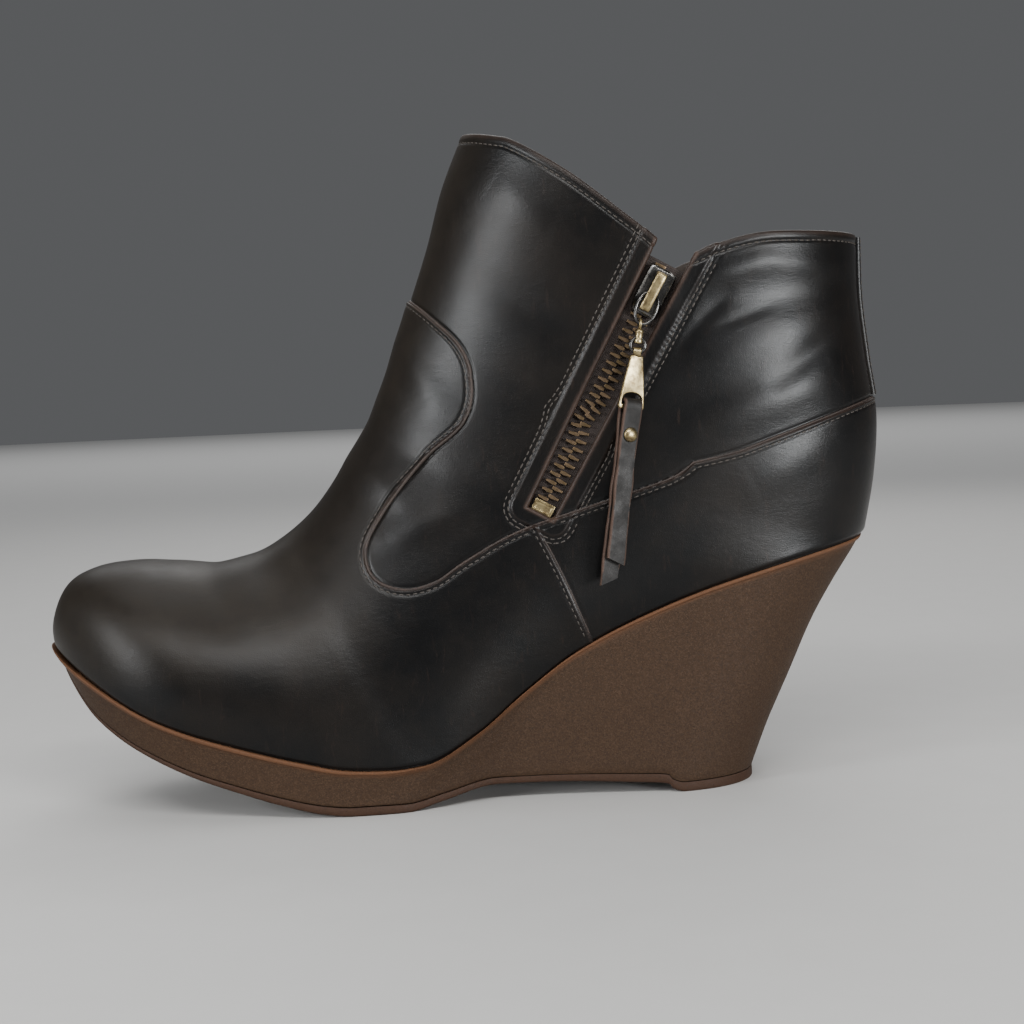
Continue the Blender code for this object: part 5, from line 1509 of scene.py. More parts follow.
def back_row(v, across):
    """Surface points and outward directions across the back seam at a share of its height."""
    count = 160
    s = np.interp(np.full(count, 1 + v), LOW_FINE, S_FINE)
    q = 1 - np.linspace(0, 0.42, count)
    line = np.vstack([wall_point(s, -q)[::-1], wall_point(s, q)[1:]])
    run = run_along(line)
    run -= run[count - 1]
    points = np.stack([np.interp(across * BACKSTAY_WIDTH / 2, run, line[:, k]) for k in range(3)], axis=-1)
    normal = np.cross(np.gradient(points, axis=0), (0.0, 0.0, 1.0))
    normal[:, 2] = 0.0
    return points, unit(normal)


def backstay_rows():
    edge = through(above_feather(PANEL_EDGE), 200)
    edge_z = float(np.interp(BACK_LINE[-1][0], edge[:, 0], edge[:, 1])) + 1.5 * PANEL_STEP
    heights = np.linspace(edge_z, BACK_LINE[-1][1] - 0.2 * MM, 46)
    return np.interp(heights, BACK_LINE[:, 1], np.linspace(0, 1, len(BACK_LINE)))


def backstay_mesh():
    across = np.array([-1, -0.985, -0.95, -0.88, -0.7, -0.4, 0, 0.4, 0.7, 0.88, 0.95, 0.985, 1])
    under, over = [], []
    for v in backstay_rows():
        points, out = back_row(v, across)
        height = BACKSTAY * (0.05 + 0.95 * rounded(np.abs(across[:, None]), 5))
        under.append(points - out * 0.4 * MM)
        over.append(points + out * (GAP + height))
    return grid_mesh("backstay_strip", np.array(under), np.array(over), 60)


# Zip


BOX_FACES = ((0, 1, 3, 2), (4, 6, 7, 5), (0, 4, 5, 1), (2, 3, 7, 6), (0, 2, 6, 4), (1, 5, 7, 3))


def box_points(low, high):
    return [(x, y, z) for x in (low[0], high[0]) for y in (low[1], high[1]) for z in (low[2], high[2])]


CHAIN_FLOOR = -WALL - TAPE_ROOM + GAP
SLIDER_MIDDLE = SLIDER_PLACE * ZIP_SLOT_LENGTH


def tape_mesh():
    a = np.linspace(-TAPE_LAP, ZIP_SLOT_LENGTH * 0.985, 90)
    half = ZIP_SLOT_HIGH / 2 + TAPE_LAP
    b = np.linspace(-half, half, 25)
    a, b = np.meshgrid(a, b, indexing="ij")
    cord = 0.35 * MM * np.exp(-(((np.abs(b) - CHAIN_WIDTH / 2 - 0.2 * MM) / (0.5 * MM)) ** 2))
    top = -WALL - TAPE_ROOM
    return grid_mesh("zip_tape_cloth", on_zip(a, b, np.full_like(a, top - TAPE)), on_zip(a, b, top + cord))


def tooth_mesh():
    """One tooth: legs that clasp the tape's cord, and a head that meets the other row."""
    long, half, tall = 3.1 * MM, 0.43 * MM, CHAIN
    work = bmesh.new()
    left = [(-half * 0.84, -0.45 * long), (-half, -0.40 * long), (-half * 0.86, 0.28 * long),
            (-half * 1.22, 0.42 * long), (-half * 0.80, 0.58 * long)]
    outline = left + [(-x, y) for x, y in left[::-1]]
    low = [work.verts.new((x, y, 0.0)) for x, y in outline]
    high = [work.verts.new((x, y, tall)) for x, y in outline]
    work.faces.new(low[::-1])
    work.faces.new(high)
    count = len(outline)
    for i in range(count):
        k = (i + 1) % count
        work.faces.new((low[i], low[k], high[k], high[i]))
    top_edges = [e for e in work.edges if all(v.co.z > tall / 2 for v in e.verts)]
    bmesh.ops.bevel(work, geom=top_edges, offset=0.18 * MM, segments=2, affect="EDGES", profile=0.6)
    bmesh.ops.recalc_face_normals(work, faces=work.faces)
    mesh = bpy.data.meshes.new("tooth")
    work.to_mesh(mesh)
    work.free()
    mesh.shade_smooth()
    mesh.set_sharp_from_angle(angle=math.radians(35))
    return mesh


def tooth_rows():
    """Paths of the two rows of teeth, each drawn so that its heads point to the middle."""
    start = STOP_LENGTH + 1.4 * MM
    end = ZIP_SLOT_LENGTH * 0.97
    rows = []
    for side, shift in ((-1, 0.0), (1, TOOTH_PITCH / 2)):
        a = np.arange(start + shift, end, TOOTH_PITCH)
        b = np.full_like(a, side * 1.50 * MM)
        line = on_zip(a, b, np.full_like(a, CHAIN_FLOOR))
        out = on_zip(a, b, np.full_like(a, CHAIN_FLOOR + MM)) - line
        out = unit(out)
        if side < 0:
            line, out = line[::-1], out[::-1]
        rows.append((line, out, False))
    return rows


def stop_mesh():
    """Brass end stop with a raised rim round a shallow panel."""
    low, high = CHAIN_FLOOR, CHAIN_FLOOR + CHAIN + TOOTH_STEP
    a0, a1 = 2 * GAP, 2 * GAP + STOP_LENGTH
    half = STOP_WIDTH / 2
    base = make_mesh("stop", box_points((a0, -half, low), (a1, half, high)), BOX_FACES)
    inset = make_mesh("stop_panel", box_points((a0 + 0.7 * MM, -half + 0.8 * MM, high - 0.35 * MM),
                                               (a1 - 0.7 * MM, half - 0.8 * MM, high + MM)), BOX_FACES)
    mesh = cut_and_join(base, [(inset, "DIFFERENCE")], "zip_end_stop", 40, 0.22 * MM, 3)
    flat = np.array([v.co[:] for v in mesh.vertices])
    for v, p in zip(mesh.vertices, on_zip(flat[:, 0], flat[:, 1], flat[:, 2])):
        v.co = p
    mesh.flip_normals()
    return mesh


def slider_half_width(share):
    return SLIDER_WIDTH / 2 * (1 - 0.30 * np.clip(-2 * share - 0.35, 0, 1) ** 1.5)


def slider_mesh():
    """Slider body: a domed plate over the chain with its two side flanges."""
    mid = SLIDER_MIDDLE
    roof = CHAIN_FLOOR + CHAIN + PLAY
    shares = np.linspace(-0.5, 0.5, 25)
    cols = np.array([-1.0, -0.97, -0.9, -0.78, -0.72, -0.4, 0.0, 0.4, 0.72, 0.78, 0.9, 0.97, 1.0])
    ends = rounded(np.abs(2 * shares), 7)
    half = slider_half_width(shares) * (0.55 + 0.45 * ends)
    aa = (mid + shares * SLIDER_LENGTH)[:, None] * np.ones(len(cols))
    bb = half[:, None] * cols
    rim = 0.28 * MM * np.exp(-(((np.abs(cols) - 0.88) / 0.07) ** 2))
    dome = SLIDER * (1 - 0.45 * np.abs(cols) ** 24) - 0.20 * MM + rim
    over = roof + dome[None, :] * (0.45 + 0.55 * rounded(np.abs(2 * shares), 9))[:, None]
    body = grid_mesh("slider", on_zip(aa, bb, np.full_like(aa, roof)), on_zip(aa, bb, over))
    inner = (CHAIN_WIDTH / 2 + PLAY) / (SLIDER_WIDTH / 2)
    shares = np.linspace(-0.15, 0.47, 9)
    parts = []
    for side in (-1, 1):
        strip = np.array([inner, 0.96]) * side
        edge = (mid + shares * SLIDER_LENGTH)[:, None] * np.ones(2)
        width = SLIDER_WIDTH / 2 * strip * np.ones_like(edge)
        floor = np.full_like(edge, CHAIN_FLOOR + GAP)
        ceiling = np.full_like(edge, roof + SLIDER * 0.4)
        flange = grid_mesh("flange", on_zip(edge, width, floor), on_zip(edge, width, ceiling))
        parts.append((flange, "UNION"))
    return cut_and_join(body, parts, "slider_body", 40)


def bridge_mesh():
    """Brass bridge of the slider: a bar bent down at both ends."""
    base = CHAIN_FLOOR + CHAIN + PLAY + SLIDER
    mid = SLIDER_MIDDLE
    t = np.linspace(-0.5, 0.5, 41)
    top = BRIDGE_ROOM + BRIDGE_BAR
    high = base + top * rounded(np.abs(2 * t) ** 1.1, 7) * (1 + 0.03 * np.cos(np.pi * t))
    inside = np.abs(t) < 0.33
    room = BRIDGE_ROOM * rounded(np.abs(t) / 0.335, 6)
    low = base + np.where(inside, room, 0.0) - SLIDER * 0.3 * ~inside
    low = np.minimum(low, high - 0.15 * MM)
    cols = np.array([-0.5, -0.47, -0.38, -0.2, 0.0, 0.2, 0.38, 0.47, 0.5])
    a = mid + t * BRIDGE_LENGTH
    aa, bb = np.meshgrid(a, cols * BRIDGE_WIDTH, indexing="ij")
    soft = 0.30 * MM * (np.abs(cols) * 2) ** 6
    under = on_zip(aa, bb, low[:, None] + soft[None, :] * 0.3)
    return grid_mesh("slider_bridge_bar", under, on_zip(aa, bb, high[:, None] - soft[None, :]), 35)


# Pull


def bridge_axis():
    base = CHAIN_FLOOR + CHAIN + PLAY + SLIDER
    a = SLIDER_MIDDLE - 0.5 * BRIDGE_LENGTH * BRIDGE_PLACE
    return Vector(on_zip(np.array([a]), np.array([0.0]), np.array([base + BRIDGE_ROOM / 2]))[0])


def lean_frame(origin, lean, out):
    """Frame that hangs from origin: X across, Y into the boot, -Z down along the lean."""
    return Matrix.Translation(origin) @ Matrix.Rotation(lean, 4, "Y") @ Matrix.Rotation(out, 4, "X")


def wire_loop(name, path, width, sides=12):
    """Closed round wire along a flat path."""
    path = np.asarray(path, float)
    count = len(path)
    tangent = way_along(path, True)
    flat = np.cross(path[1] - path[0], path[count // 3] - path[0])
    flat = flat / np.linalg.norm(flat)
    side = np.cross(tangent, flat)
    angles = 2 * np.pi * np.arange(sides) / sides
    rings = (path[:, None, :] + width / 2 * np.cos(angles)[None, :, None] * side[:, None, :]
             + width / 2 * np.sin(angles)[None, :, None] * flat[None, None, :])
    faces = []
    for i in range(count):
        for j in range(sides):
            k, m = (i + 1) % count, (j + 1) % sides
            faces.append((i * sides + j, k * sides + j, k * sides + m, i * sides + m))
    return make_mesh(name, rings.reshape(-1, 3), faces, 60)


def loop_path(width, top, bottom, round_top, count=56):
    """Loop in the XZ plane, flatter at the top if round_top is under 1."""
    angles = 2 * np.pi * np.arange(count) / count
    x = np.sin(angles)
    z = np.cos(angles)
    x = np.where(z > 0, np.sign(x) * np.abs(x) ** round_top, x)
    middle, half = (top + bottom) / 2, (top - bottom) / 2
    path = np.column_stack([x * width / 2, np.zeros(count), middle + z * half])
    closed = np.vstack([path, path[:1]])
    return even_line(closed, count + 1)[:-1]


def turned(name, profile, sides=28, smooth=40):
    angles = 2 * np.pi * np.arange(sides) / sides
    points = [(r * math.cos(t), r * math.sin(t), z) for r, z in profile for t in angles]
    faces = side_faces(len(profile), sides)
    faces.append(tuple(range(sides))[::-1])
    faces.append(tuple(range((len(profile) - 1) * sides, len(profile) * sides)))
    return make_mesh(name, points, faces, smooth)


EYE_REACH = WIRE + GAP


def ring_sag(reach):
    radius = (RING_WIDTH - WIRE) / 2
    return radius - math.sqrt(radius**2 - min(reach, radius * 0.98) ** 2)


SWIVEL_LOW = -EYE_REACH - WIRE * 0.3 - SWIVEL_LENGTH
SWIVEL_HOLE = SWIVEL_LOW + WIRE * 0.45 + GAP + WIRE / 2 + ring_sag(SWIVEL_WIDTH / 2)
RING_BOTTOM = SWIVEL_HOLE - (RING_WIDTH - WIRE)
RIVET_HEIGHT = -TAG_LENGTH - RIVET_DROP


def swivel_mesh():
    """Small barrel with a twisted eye above and a cross hole for the ring below."""
    radius = SWIVEL_WIDTH / 2
    reach = EYE_REACH
    top = -reach - WIRE * 0.3
    low = top - SWIVEL_LENGTH
    profile = ((radius * 0.78, low), (radius * 0.95, low + radius * 0.10), (radius, low + radius * 0.25),
               (radius, low + radius * 0.9), (radius * 0.93, low + radius * 1.05),
               (radius * 0.93, top - radius * 0.9), (radius, top - radius * 0.75),
               (radius, top - radius * 0.3), (radius * 0.7, top))
    barrel = turned("barrel", profile)
    angles = 2 * np.pi * np.arange(32) / 32
    eye_path = np.column_stack([np.zeros(32), reach * np.sin(angles), reach * np.cos(angles)])
    eye = wire_loop("eye", eye_path, WIRE)
    sag = ring_sag(radius)
    reach_y = WIRE / 2 + GAP
    hole = turned("hole", ((reach_y, -radius * 2), (reach_y, radius * 2)), 24)
    place = Matrix.Translation((0, 0, SWIVEL_HOLE - sag / 2))
    tall = Matrix.Diagonal((1, 1, (reach_y + sag / 2) / reach_y, 1))
    hole.transform(place @ tall @ Matrix.Rotation(math.pi / 2, 4, "Y"))
    return cut_and_join(barrel, [(eye, "UNION"), (hole, "DIFFERENCE")], "pull_swivel_barrel", 45)


def tag_outline(share):
    return (TAG_TOP_WIDTH + share * (TAG_LOW_WIDTH - TAG_TOP_WIDTH)) / 2


def plate_mesh(name, outline, y0, y1, smooth=40):
    count = len(outline)
    points = [(x, y0, z) for x, z in outline] + [(x, y1, z) for x, z in outline]
    faces = [tuple(range(count)), tuple(range(2 * count - 1, count - 1, -1))]
    faces += [(i, (i + 1) % count, (i + 1) % count + count, i + count) for i in range(count)]
    return make_mesh(name, points, faces, smooth)


def tag_mesh():
    """Flat tag, wider below, rolled at the top round the ring, with an arched slot for the strap."""
    roll = WIRE / 2 + GAP + ring_sag(TAG_ROLL / 2) / 2
    outer = roll + TAG * 0.45
    shares = np.concatenate([np.linspace(0.06, 0.94, 12), [0.975, 1.0]])
    halves = tag_outline(shares) * (1 + 0.05 * np.sin(np.pi * shares))
    halves[-2] -= TAG * 0.12
    halves[-1] -= TAG * 0.55
    z = -TAG_LENGTH * shares
    right = list(zip(halves, z))
    left = [(-h, t) for h, t in right]
    plate = plate_mesh("plate", left + right[::-1], -TAG / 2, TAG / 2)
    slot_low = -TAG_LENGTH + TAG * 1.2
    half = STRAP_WIDTH / 2 + PLAY
    bend = np.linspace(0, math.pi, 13)
    arch = [(half * math.cos(t), slot_low + 0.45 * TAG_SLOT_HEIGHT + 0.55 * TAG_SLOT_HEIGHT * math.sin(t))
            for t in bend]
    slot = plate_mesh("slot", [(half, slot_low)] + arch + [(-half, slot_low)], -TAG, TAG)
    plate = cut_and_join(plate, [(slot, "DIFFERENCE")], "plate_cut", 40, 0.26 * MM, 3)
    plate.transform(Matrix.Rotation(TAG_TURN, 4, "Z"))
    rod = turned("roll", ((outer * 0.9, -TAG_ROLL / 2), (outer, -TAG_ROLL / 2 + 0.12 * MM),
                          (outer, TAG_ROLL / 2 - 0.12 * MM), (outer * 0.9, TAG_ROLL / 2)))
    bore = turned("bore", ((roll, -TAG_TOP_WIDTH), (roll, TAG_TOP_WIDTH)), 20)
    for mesh in (rod, bore):
        mesh.transform(Matrix.Rotation(math.pi / 2, 4, "Y"))
    return cut_and_join(rod, [(plate, "UNION"), (bore, "DIFFERENCE")], "pull_tag_plate", 35)


def strap_profile():
    """Middle line of the folded strap in its YZ plane: front layer, fold, back layer."""
    bar = -TAG_LENGTH + TAG * 1.2
    gap = TAG / 2 + PLAY + STRAP / 2
    top = bar + PLAY + STRAP / 2
    shares = (0.1, 0.25, 0.5, 0.75, 1.0)

    def apart(share):
        return gap - (gap - STRAP * 0.75) * min(1.0, 4 * share)

    front = [(-apart(t) - STRAP_SPLAY * t**2 * 0.5, bar - STRAP_LENGTH * t * 0.86) for t in shares[::-1]]
    arc = [(-gap * math.cos(t), top - STRAP * 0.2 + gap * 0.55 * math.sin(t) - gap * 0.2)
           for t in np.linspace(0, math.pi, 7)]
    back = [(apart(t) - STRAP_SPLAY * t**2 * 0.1, bar - STRAP_LENGTH * t) for t in shares]
    return front, arc, back


def strap_mesh():
    """Folded strap with soft edges, its two ends cut on a slant."""
    front, arc, back = strap_profile()
    line = through(front + arc + back, 150)
    tangent = way_along(line, False)
    normal = np.column_stack([-tangent[:, 1], tangent[:, 0]])
    cols = np.array([-1.0, -0.94, -0.8, -0.5, 0.0, 0.5, 0.8, 0.94, 1.0])
    thick = STRAP / 2 * (0.62 + 0.38 * rounded(np.abs(cols), 8))
    share = np.linspace(0, 1, len(line))
    slant_front = np.clip(1 - share / 0.06, 0, 1) * -0.9 * MM
    slant_back = np.clip((share - 0.92) / 0.08, 0, 1) * 2.6 * MM
    wave = 0.12 * MM * np.sin(share * 37.0) + 0.08 * MM * np.sin(share * 61.0 + 1.0)
    layers = []
    for side in (-1, 1):
        grid = np.zeros((len(line), len(cols), 3))
        for j, c in enumerate(cols):
            edge = line + normal * (side * thick[j])
            grid[:, j, 0] = c * STRAP_WIDTH / 2 + wave * np.abs(c) ** 3 * np.sign(c)
            grid[:, j, 1] = edge[:, 0]
            grid[:, j, 2] = edge[:, 1] + slant_front * c + slant_back * (c + 1) / 2
        layers.append(grid)
    base = grid_mesh("strap", layers[0], layers[1])
    reach = RIVET_WIDTH * 0.22 + GAP
    hole = turned("strap_hole", ((reach, -0.01), (reach, 0.01)), 16)
    hole.transform(Matrix.Translation((0, 0, RIVET_HEIGHT)) @ Matrix.Rotation(math.pi / 2, 4, "X"))
    mesh = cut_and_join(base, [(hole, "DIFFERENCE")], "pull_strap_leather", 50)
    cut = mesh.attributes.new("worn", "FLOAT", "POINT")
    for i, v in enumerate(mesh.vertices):
        cut.data[i].value = float(abs(v.co.x) > 0.9 * STRAP_WIDTH / 2)
    return mesh


def rivet_mesh():
    front, _, back = strap_profile()
    height = RIVET_HEIGHT
    y_front = float(np.interp(height, [p[1] for p in front], [p[0] for p in front]))
    y_back = float(np.interp(height, [p[1] for p in back][::-1], [p[0] for p in back][::-1]))
    face = y_front - STRAP / 2 - PLAY * 0.5
    rear = y_back + STRAP / 2 + PLAY * 0.5
    radius = RIVET_WIDTH / 2
    dome = [(radius * math.cos(t), -face + radius * 0.55 * math.sin(t)) for t in np.linspace(0.15, 1.5, 10)]
    profile = [(radius * 0.72, -rear - 0.7 * MM), (radius * 0.8, -rear - 0.5 * MM), (radius * 0.8, -rear),
               (radius * 0.4, -rear), (radius * 0.4, -face), (radius * 0.96, -face)] + dome
    mesh = turned("pull_rivet_head", profile, 28, 40)
    mesh.transform(Matrix.Translation((0, 0, height)) @ Matrix.Rotation(math.pi / 2, 4, "X"))
    return mesh


# Stitches


def running_mean(rows, reach=5):
    """Rows of numbers, each made the mean of its neighbours."""
    padded = np.vstack([rows[:1]] * reach + [rows] + [rows[-1:]] * reach)
    kernel = np.ones(2 * reach + 1) / (2 * reach + 1)
    return np.column_stack([np.convolve(padded[:, k], kernel, "valid") for k in range(rows.shape[1])])


def laid_on(tree, points, lift=0.0):
    """Points brought to the finished leather's surface, with its outward directions."""
    where, outs = [], []
    for p in points:
        place, normal, _, _ = tree.find_nearest(Vector(p))
        where.append(place)
        outs.append(normal)
    points = np.asarray(points)
    moved = running_mean(np.array([tuple(p) for p in where]) - points)
    outs = unit(running_mean(np.array([tuple(n) for n in outs])))
    return points + moved + outs * lift, outs


def shifted(line, distance):
    """A seam line moved sideways over the surface."""
    return line.points + line.side * distance


KEPT = {}


def seams():
    if "seams" not in KEPT:
        KEPT["seams"] = Seams()
    return KEPT["seams"]


def surface_tree(piece):
    """Search tree over a piece's surface, made once."""
    if piece not in KEPT:
        mesh = bpy.data.objects[piece].data
        points = [v.co for v in mesh.vertices]
        KEPT[piece] = BVHTree.FromPolygons(points, [p.vertices for p in mesh.polygons])
    return KEPT[piece]


def slot_row(distance):
    """Side-view line round the zip's slot at a distance from its edge, from collar to collar."""
    half = float(slot_half_width(0))
    right = [(a, float(slot_half_width(a)) + distance) for a in np.linspace(0, ZIP_SLOT_LENGTH * 1.05, 90)]
    bend = np.linspace(math.pi / 2, 0, 8)[:-1]
    corner = [(-distance * math.sin(t), half + distance * math.cos(t)) for t in bend]
    side = np.array(corner + right)
    foot = [(-distance, b) for b in np.linspace(-half, half, 16)[1:-1]]
    flat = np.vstack([(side * (1, -1))[::-1], foot, side])
    side = ZIP_FOOT + flat[:, :1] * ZIP_ALONG + flat[:, 1:] * ZIP_ACROSS
    under = side[:, 1] < np.interp(side[:, 0], COLLAR_LINE[:, 0], COLLAR_LINE[:, 1]) - 0.6 * MM
    side = side[under]
    return on_wall(side[:, 0], side[:, 1], np.zeros(len(side)))[0]


def colour(name, description, default):
    return FloatVectorProperty(name=name, description=description, subtype="COLOR", size=3, min=0, max=1,
                               default=default)


class BootColours(bpy.types.PropertyGroup):
    """Colours of the boot's leather, sole, thread and metal."""

    leather: colour("Leather", "Main colour of the waxed leather", (0.0026, 0.0026, 0.0028))
    leather_warm: colour("Leather, worn", "Brown that shows where wax is thin", (0.0070, 0.0050, 0.0037))
    leather_dull: colour("Leather, dull", "Toe and shin, where the wax has gone", (0.0130, 0.0100, 0.0072))
    # Also mixed in faintly along the zip band's fold as a painted highlight.
    raw_edge: colour("Raw edge", "Cut edges of the leather", (0.056, 0.033, 0.024))
    lining: colour("Lining", "Leather inside the boot", (0.060, 0.042, 0.032))
    foam: colour("Wedge", "Ground colour of the speckled wedge", (0.035, 0.0175, 0.0080))
    foam_dark: colour("Wedge, dark crumbs", "Darkest crumbs of the wedge", (0.015, 0.0078, 0.0042))
    foam_light: colour("Wedge, pale crumbs", "Palest crumbs of the wedge", (0.074, 0.043, 0.024))
    rubber: colour("Outsole", "Tread layer under the wedge", (0.040, 0.018, 0.0095))
    strap: colour("Strap", "Leather strap of the zip pull", (0.014, 0.0122, 0.011))
    # Painted highlight: the paler colour given to the wedge's top ledge.
    rim: colour("Wedge rim", "Upper lip of the wedge", (0.100, 0.044, 0.020))
    tape: colour("Zip tape", "Woven tape behind the teeth", (0.016, 0.010, 0.008))
    thread: colour("Thread", "Thread of every seam", (0.042, 0.033, 0.026))
    brass: colour("Brass", "Bridge, stop, tag, barrel and rivet", (0.460, 0.370, 0.200))
    brass_dark: colour("Brass, aged", "Dark patches of the aged brass", (0.120, 0.085, 0.042))
    bronze: colour("Bronze", "Zip teeth", (0.200, 0.138, 0.088))
    gunmetal: colour("Gunmetal", "Slider body, link and ring", (0.130, 0.125, 0.120))


class BootSizes(bpy.types.PropertyGroup):
    """Sizes of the sewing that a maker may change."""

    stitch_pitch: FloatProperty(name="Stitch pitch", description="From one stitch to the next",
                                unit="LENGTH", min=0.001, max=0.006, default=0.0020)
    stitch_length: FloatProperty(name="Stitch length", description="Thread seen in one stitch",
                                 unit="LENGTH", min=0.0006, max=0.005, default=0.0015)
    thread: FloatProperty(name="Thread", description="Thickness of the thread",
                          unit="LENGTH", min=0.0001, max=0.001, default=0.00050)
    wall_columns: IntProperty(name="Upper detail", description="Rows from sole to front line, before they are cut",
                              min=20, max=140, default=84)


class BOOT_OT_stage(bpy.types.Operator):
    """Makes the floor, the lights and the camera"""

    bl_idname = "boot.stage"
    bl_label = "Stage"

    def execute(self, context):
        floor = bpy.data.meshes.new("floor")
        count = 96
        turns = [2 * math.pi * i / count for i in range(count)]
        ring_points = [(FLOOR_RADIUS * math.cos(t), FLOOR_RADIUS * math.sin(t), 0.0) for t in turns]
        floor.from_pydata(ring_points, [], [tuple(range(count))])
        floor_object = bpy.data.objects.new("floor", floor)
        context.scene.collection.objects.link(floor_object)
        made, place = start_material("pale_floor")
        grain = noise(place, 60.0, 3.0, 0.5)
        tone = mixed(grain, (0.56, 0.555, 0.545), (0.53, 0.525, 0.515))
        put(made.node_tree.nodes["Principled BSDF"], {"Base Color": tone, "Roughness": 0.75})
        floor.materials.append(made)
        world = bpy.data.worlds.new("studio")
        context.scene.world = world
        world.use_nodes = True
        glow = world.node_tree.nodes["Background"].inputs
        glow["Color"].default_value = (0.80, 0.82, 0.85, 1.0)
        glow["Strength"].default_value = 0.13
        lamps = (
            ("left", (-0.98, -0.72, 0.4), (0.02, 0, 0.12), 0.36, 0.5, 11.5, (0.97, 0.99, 1)),
            ("right", (0.84, -0.92, 0.13), (0.09, 0, 0.11), 0.42, 0.26, 14, (0.97, 0.99, 1)),
            ("front", (0.02, -0.75, 0.74), (0, 0, 0.06), 0.9, 0.12, 8, (1, 0.99, 0.97)),
            ("back", (0.2, 0.9, 0.8), (0, 0, 0.08), 0.8, 0.8, 3, (1, 0.98, 0.95)),
            ("top", (-0.1, 0.1, 1.2), (0, 0, 0.05), 0.9, 0.9, 4.5, (1, 1, 1)),
            ("far", (0, 3.2, 2.4), (0, 3.4, 0), 4, 2, 60, (0.98, 0.99, 1)),
        )
        for name, place, target, across, tall, power, colour in lamps:
            lamp = bpy.data.lights.new(name, "AREA")
            lamp.shape = "RECTANGLE"
            lamp.size = across
            lamp.size_y = tall
            lamp.energy = power
            lamp.color = colour
            obj = bpy.data.objects.new(name, lamp)
            context.scene.collection.objects.link(obj)
            obj.location = place
            obj.rotation_euler = (Vector(target) - Vector(place)).to_track_quat("-Z", "Y").to_euler()
        camera = bpy.data.cameras.new("camera")
        camera.lens = VIEW_LENS
        camera.sensor_width = 36.0
        obj = bpy.data.objects.new("camera", camera)
        context.scene.collection.objects.link(obj)
        target = Vector((VIEW_TARGET[0], Y_SHIFT, VIEW_TARGET[1]))
        back = Vector((0.0, -math.cos(VIEW_TILT), math.sin(VIEW_TILT)))
        obj.location = target + back * VIEW_DISTANCE
        turn = (-back).to_track_quat("-Z", "Y") @ Quaternion((0, 0, 1), VIEW_ROLL)
        obj.rotation_mode = "QUATERNION"
        obj.rotation_quaternion = turn
        context.scene.camera = obj
        return {"FINISHED"}


class BOOT_OT_upper(bpy.types.Operator):
    """Makes the leather upper and its lining"""

    bl_idname = "boot.upper"
    bl_label = "Upper"

    def execute(self, context):
        materials = finishes(context.scene.boot_colours)
        cols = context.scene.boot_sizes.wall_columns
        sheet, layer = wall_cells(int(cols * 1.75), int(cols * 0.76), cols, CELL_CUTS)
        cut_slot(sheet, layer)
        mesh = shell("upper_leather", sheet, layer, 0.0, LEATHER, seams())
        sheet.free()
        tuck_toe(mesh, TOE_TUCK_UPPER)
        show("upper_leather", mesh, materials["leather"], "boot", ("upper",))
        sheet, layer = wall_cells(90, 40, 42)
        cut_slot(sheet, layer)
        mesh = shell("upper_lining", sheet, layer, LINING_DEPTH, LINING)
        sheet.free()
        tuck_toe(mesh, TOE_TUCK_UPPER)
        show("upper_lining", mesh, materials["lining"], "boot")
        return {"FINISHED"}


class BOOT_OT_edges(bpy.types.Operator):
    """Makes the raw leather edges of the panels and the strip on the back seam"""

    bl_idname = "boot.edges"
    bl_label = "Edges and backstay"

    def execute(self, context):
        materials = finishes(context.scene.boot_colours)
        tree = surface_tree("upper_leather")
        panel = seams().panel
        path, outs = laid_on(tree, shifted(panel, -0.2 * MM)[::2])
        bold = 0.62 + 0.38 * ramp(path[:, 0] * -1 + 0.012, 0.020)
        mesh = sweep("panel_raw_edge", path, outs, half_round(0.86 * MM, 0.40 * MM, 0.4 * MM), True, bold)
        show("panel_raw_edge", mesh, materials["edge"], "boot")
        for side, line in seams().sides:
            where = shifted(line, side * 0.2 * MM)
            keep = panel.distance(where)[0] < -0.3 * MM
            path, outs = laid_on(tree, where[keep][::2])
            name = "side_raw_edge_inner" if side < 0 else "side_raw_edge_outer"
            mesh = sweep(name, path, outs, half_round(0.5 * MM, 0.24 * MM, 0.4 * MM), False)
            show(name, mesh, materials["edge"], "boot")
        show("backstay_strip", backstay_mesh(), materials["leather"], "boot", ("backstay",))
        return {"FINISHED"}


